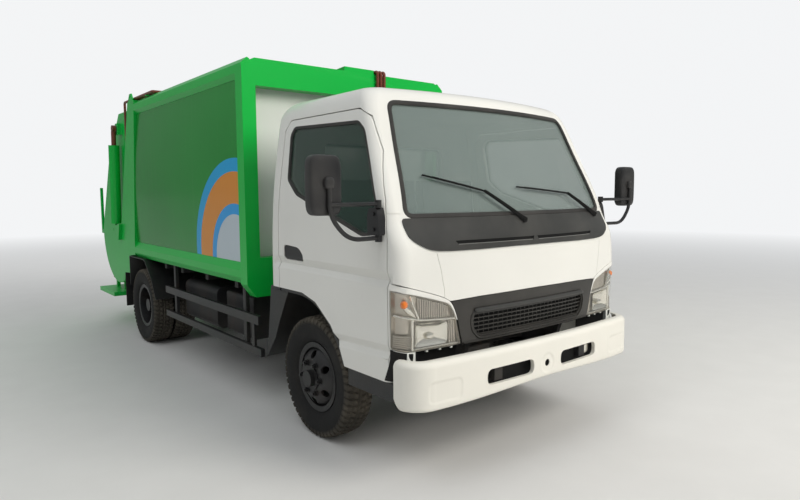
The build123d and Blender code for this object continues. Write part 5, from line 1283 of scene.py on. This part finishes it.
        # Two pads with round corners and a ring about the tow hole are pressed in, each down a short slope
        pad = np.hypot(np.maximum(np.abs(wide - 0.788) - 0.110 + 0.030, 0.0),
                       np.maximum(np.abs(face - 0.541) - 0.057 + 0.030, 0.0))
        pressed = 0.0035 * np.clip((0.030 - pad) / 0.007, 0.0, 1.0)
        pressed = pressed + 0.004 * np.clip((0.062 - np.hypot(along, face - TOW_HOLE[0])) / 0.012, 0.0, 1.0)
        lip = (np.array([[0.046, 0.058]]) * ones, np.array([[0.7005, 0.699]]) * ones)
        shoulder = BUMPER_TOP - BUMPER_ROLL
        outer = [(0.012 * (1 - np.sin(curl)) * ones, low + 0.020 * (1 - np.cos(curl))), (pressed, face),
                 (BUMPER_ROLL * (1 - np.cos(roll)) * ones, shoulder + BUMPER_ROLL * np.sin(roll) * ones), lip]
        inner = [(lip[0], lip[1] - 0.005),
                 (0.005 + 0.028 * (1 - np.cos(roll)) * ones, shoulder + 0.028 * np.sin(roll) * ones),
                 (pressed + 0.005, face),
                 (0.005 + 0.009 * (1 - np.sin(curl)) * ones, low + 0.003 + 0.017 * (1 - np.cos(curl)))]
        inset, height = (np.concatenate([part[k] for part in outer] + [part[k][:, ::-1] for part in inner], 1)
                         for k in (0, 1))
        surface = on_bumper(np.stack(np.broadcast_arrays(along, height), -1), -inset)
        hole = np.array([[0.0, y - AXLE, TOW_HOLE[0]] for y in (-1.2, -1.0)])
        cuts, lips = [tube(hole, TOW_HOLE[1], 32)], []
        for side, _ in SIDES:
            slot = rounded(BUMPER_SLOT * (side, 1.0), 0.040, 9)
            cuts.append(prism(slot, "y", -1.2, -1.0))
            lips.append(seal(dense(slot, 0.02), on_bumper, SLOT_LIP))
        shell = solid_of(Form().grid(surface, wrap_v=True, caps=True), cuts)
        show("bumper_shell", shell, "bumper", "chassis", ("front_bumper",), 40.0)
        show("bumper_slot_lips", join(*lips), "bumper", "chassis")
        # A black sheet behind the slots: painted shade seen through them
        across = np.linspace(-BUMPER_FLAT, BUMPER_FLAT, 40)[:, None]
        depth, height = SLOT_SHADE_SECTION.T
        sheet = on_bumper(np.stack(np.broadcast_arrays(across, height), -1), -depth)
        shade_behind = Form().grid(sheet, wrap_v=True, caps=True)
        show("bumper_slot_shade", shade_behind, "matt", "chassis")
        fog = rounded_box(on_bumper(np.array([[0.430, 0.560]]), -0.045)[0], (0.042, 0.014, 0.034), 0.6)
        show("fog_lamp", fog, "bowl", "chassis")

    def build_wipers(self):
        """Two wipers: a flat arm, a sprung bridge and a rubber blade along the foot of the glass."""
        def peg(point, back, ahead, radius, around):
            """A short pin that stands on the glass, from one distance behind it to another."""
            ends = on_front(np.array([point, point + 0.0001]), 0.0) + np.array([[0, back, 0], [0, ahead, 0]])
            return tube(ends, radius, around)

        whole = []
        t = np.linspace(0.0, 1.0, 16)[:, None]
        for pivot, heel, tip in WIPERS:
            arm = pivot + (heel - pivot) * t
            start = heel + (heel - tip) * 0.12
            blade = start + (tip - start) * t
            whole += [tube(on_front(arm, 0.020), np.interp(t[:, 0], [0, 0.15, 1], [0.019, 0.014, 0.010]), 10, 0.6),
                      peg(pivot, 0.004, -0.024, 0.016, 16), tube(on_front(blade, 0.004), 0.0065, 8, 0.6),
                      tube(on_front(blade[2:-2], 0.012), 0.0055, 8)]
            whole += [peg(blade[place], -0.004, -0.014, 0.006, 8) for place in (2, 6, 10, 13)]
        show("wiper_arms", join(*whole), "matt", "cab", ("wipers",))


class TRUCK_OT_mirrors(Builder, bpy.types.Operator):
    """Hangs a mirror on bent arms from each door"""
    bl_idname = "truck.mirrors"
    bl_label = "Mirrors"

    def execute(self, context):
        y = MIRROR_STATION - AXLE
        shell = rounded_box((MIRROR_OUT, y + 0.0075, 1.590), (0.0875, 0.0375, 0.145), 0.34)
        base = prism(rounded(MIRROR_PLATE, 0.012, 4), "x", 0.968, 1.016)
        knob = rounded_box((1.318, y - 0.036, 1.600), (0.026, 0.018, 0.030), 0.7)
        bend = rounded(MIRROR_ARM, 0.07, 12, closed=False)
        low = np.stack([bend[:, 0], np.full(len(bend), y - 0.040), bend[:, 1]], 1)
        low[:, 1] += np.interp(bend[:, 0], [1.001, 1.12], [0.040, 0.0])
        high = np.array([1.001, y, 1.497]) + np.linspace(0.0, 1.0, 24)[:, None] * np.array([0.317, -0.040, 0.0])
        forms = [shell, base, knob, tube(low, 0.0115), tube(high, 0.0105)]
        bolt = y - 0.012 + 0.03
        forms += [tube(np.array([[0.990, bolt, z], [1.024, bolt, z]]), 0.010, 6) for z in (1.365, 1.445)]
        forms += [tube(np.array([[1.000, y, z - 0.020], [1.000, y, z + 0.020]]), 0.018, 16) for z in (1.322, 1.497)]
        arm = join(*forms)
        face = pane(rounded(MIRROR_FACE, 0.03, 6), lambda points, lift: np.stack(
            [points[:, 0] + MIRROR_OUT, np.full(len(points), y + lift), points[:, 1] + 1.59], 1), 0.0445, 0.040, 4)
        for side, name in SIDES:
            whole, glass = (form if side > 0 else form.mirrored() for form in (arm, face))
            show(f"mirror_arm_{name}", whole, "plastic", f"door_{name}", (f"mirror_{name}",))
            show(f"mirror_face_{name}", glass, "mirror", f"door_{name}")
        return {"FINISHED"}


# Wheels

def tyre_form(centre_x, station, lugs, depth, facing):
    """A tyre: its section turned about the axle, with the tread cut where a wave is high.

    The wave is the distance from the middle of a lug, as a share of the lugs' pitch. It slants with the distance
    from the tyre's middle and is half a lug out of step between the two halves. Two grooves run round each half.
    """
    section = np.concatenate([TYRE_SECTION, TYRE_SECTION[-2::-1] * (-1.0, 1.0)])
    x, r = section[:, 0], section[:, 1]
    turn = np.linspace(0.0, 2 * np.pi, lugs * 10, endpoint=False)
    phase = turn[None] * lugs / (2 * np.pi) + np.where(x > 0, 0.5, 0.0)[:, None]
    wave = np.abs(((phase + np.abs(x)[:, None] * 6.0) % 1.0) - 0.5)
    across = (np.clip((wave - 0.31) / 0.05, 0.0, 1.0)) * (np.abs(x) > 0.021)[:, None]
    groove = np.maximum.reduce([
        np.clip(1.0 - np.abs(np.abs(x) - place) / wide, 0.0, 1.0) for place, wide in TYRE_GROOVES])
    tread = np.clip((r - 0.3445) / 0.006, 0.0, 1.0)[:, None]
    cut = np.maximum(across, (groove > 0.3).astype(float)[:, None]) * tread
    radius = r[:, None] - depth * cut
    px = (facing * x)[:, None] + centre_x - facing * np.sign(x)[:, None] * cut * 0.004 * (np.abs(x) > 0.09)[:, None]
    y, z = station - AXLE + radius * np.cos(turn), HUB_HEIGHT + radius * np.sin(turn)
    return Form().grid(np.stack([px, y, z], -1), wrap_u=True, wrap_v=True)


class TRUCK_OT_wheels(Builder, bpy.types.Operator):
    """Fits treaded tyres, dished discs and wheel nuts"""
    bl_idname = "truck.wheels"
    bl_label = "Wheels"

    def execute(self, context):
        look = context.scene.truck_look
        for side, name in SIDES:
            front, outer, inner = (
                tyre_form(side * middle, station, look.lug_count, look.lug_depth, side) for middle, station in TYRES)
            show(f"tread_front_{name}", front, "front_tyre", f"wheel_front_{name}",
                 (f"tyre_front_{name}",), TYRE_ANGLE)
            show(f"treads_rear_{name}", join(outer, inner), "rear_tyre", f"wheel_rear_{name}",
                 (f"tyres_rear_{name}",), TYRE_ANGLE)
            for wheel, node, station, face in (("front", "wheel_front", 0.0, 0.9425),
                                               ("rear", "wheels_rear", WHEELBASE, 0.783)):
                soften(f"{node}_{name}", "wheel", 0.002)
                show(f"nuts_{wheel}_{name}", self.nuts(side, face, station), "wheel", f"wheel_{wheel}_{name}")
        return {"FINISHED"}

    def nuts(self, side, face, station):
        """Six nuts in a ring on the bolting face: a washer, six flats and a stud, each a bar of its own reach."""
        forms = []
        for angle in np.arange(6) * np.pi / 3:
            y = station - AXLE + NUT_RING * math.cos(angle)
            z = HUB_HEIGHT + NUT_RING * math.sin(angle)
            for reach, radius, count in ((0.004, 0.021, 20), (0.022, 0.0165, 6), (0.031, 0.010, 12)):
                ends = np.array([[side * (face - 0.003), y, z], [side * (face + reach), y, z]])
                forms.append(tube(ends, radius, count))
        return join(*forms)


# Body and chassis

class TRUCK_OT_body(Builder, bpy.types.Operator):
    """Rounds the sheet edges of the body and tailgate and paints every remaining piece"""
    bl_idname = "truck.body"
    bl_label = "Body"

    def execute(self, context):
        edge = context.scene.truck_look.sheet_edge
        for paint, radius, nodes in SHEET_NODES:
            for node in nodes:
                soften(node, paint, radius or edge)
        done = {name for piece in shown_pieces() for name in piece.get("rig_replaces", [])}
        for node in frame["nodes"]:
            if node not in done:
                coat(frame["nodes"][node].data, LEFT_FINISH.get(node) or SLOT_FINISH[SLOT_OF[node]])
        return {"FINISHED"}


# Add-on

BUILDERS = (TRUCK_OT_cab, TRUCK_OT_glass, TRUCK_OT_front, TRUCK_OT_mirrors, TRUCK_OT_wheels, TRUCK_OT_body,
            TRUCK_OT_stage)


class TRUCK_PT_panel(bpy.types.Panel):
    """Lists the truck's sizes, colours and builders."""
    bl_label = "Truck"
    bl_idname = "TRUCK_PT_panel"
    bl_space_type = "VIEW_3D"
    bl_region_type = "UI"
    bl_category = "Truck"

    def draw(self, context):
        look = context.scene.truck_look
        for name in TruckLook.__annotations__:
            self.layout.prop(look, name)
        for builder in BUILDERS:
            self.layout.operator(builder.bl_idname)


CLASSES = (TruckLook,) + BUILDERS + (TRUCK_PT_panel,)


def register():
    for entry in CLASSES:
        bpy.utils.register_class(entry)
    bpy.types.Scene.truck_look = bpy.props.PointerProperty(type=TruckLook)


def unregister():
    del bpy.types.Scene.truck_look
    for entry in reversed(CLASSES):
        bpy.utils.unregister_class(entry)


def main():
    """Builds the truck piece by piece."""
    register()
    aim_camera()
    for builder in BUILDERS:
        group, name = builder.bl_idname.split(".")
        getattr(getattr(bpy.ops, group), name)()


if __name__ == "__main__":
    main()
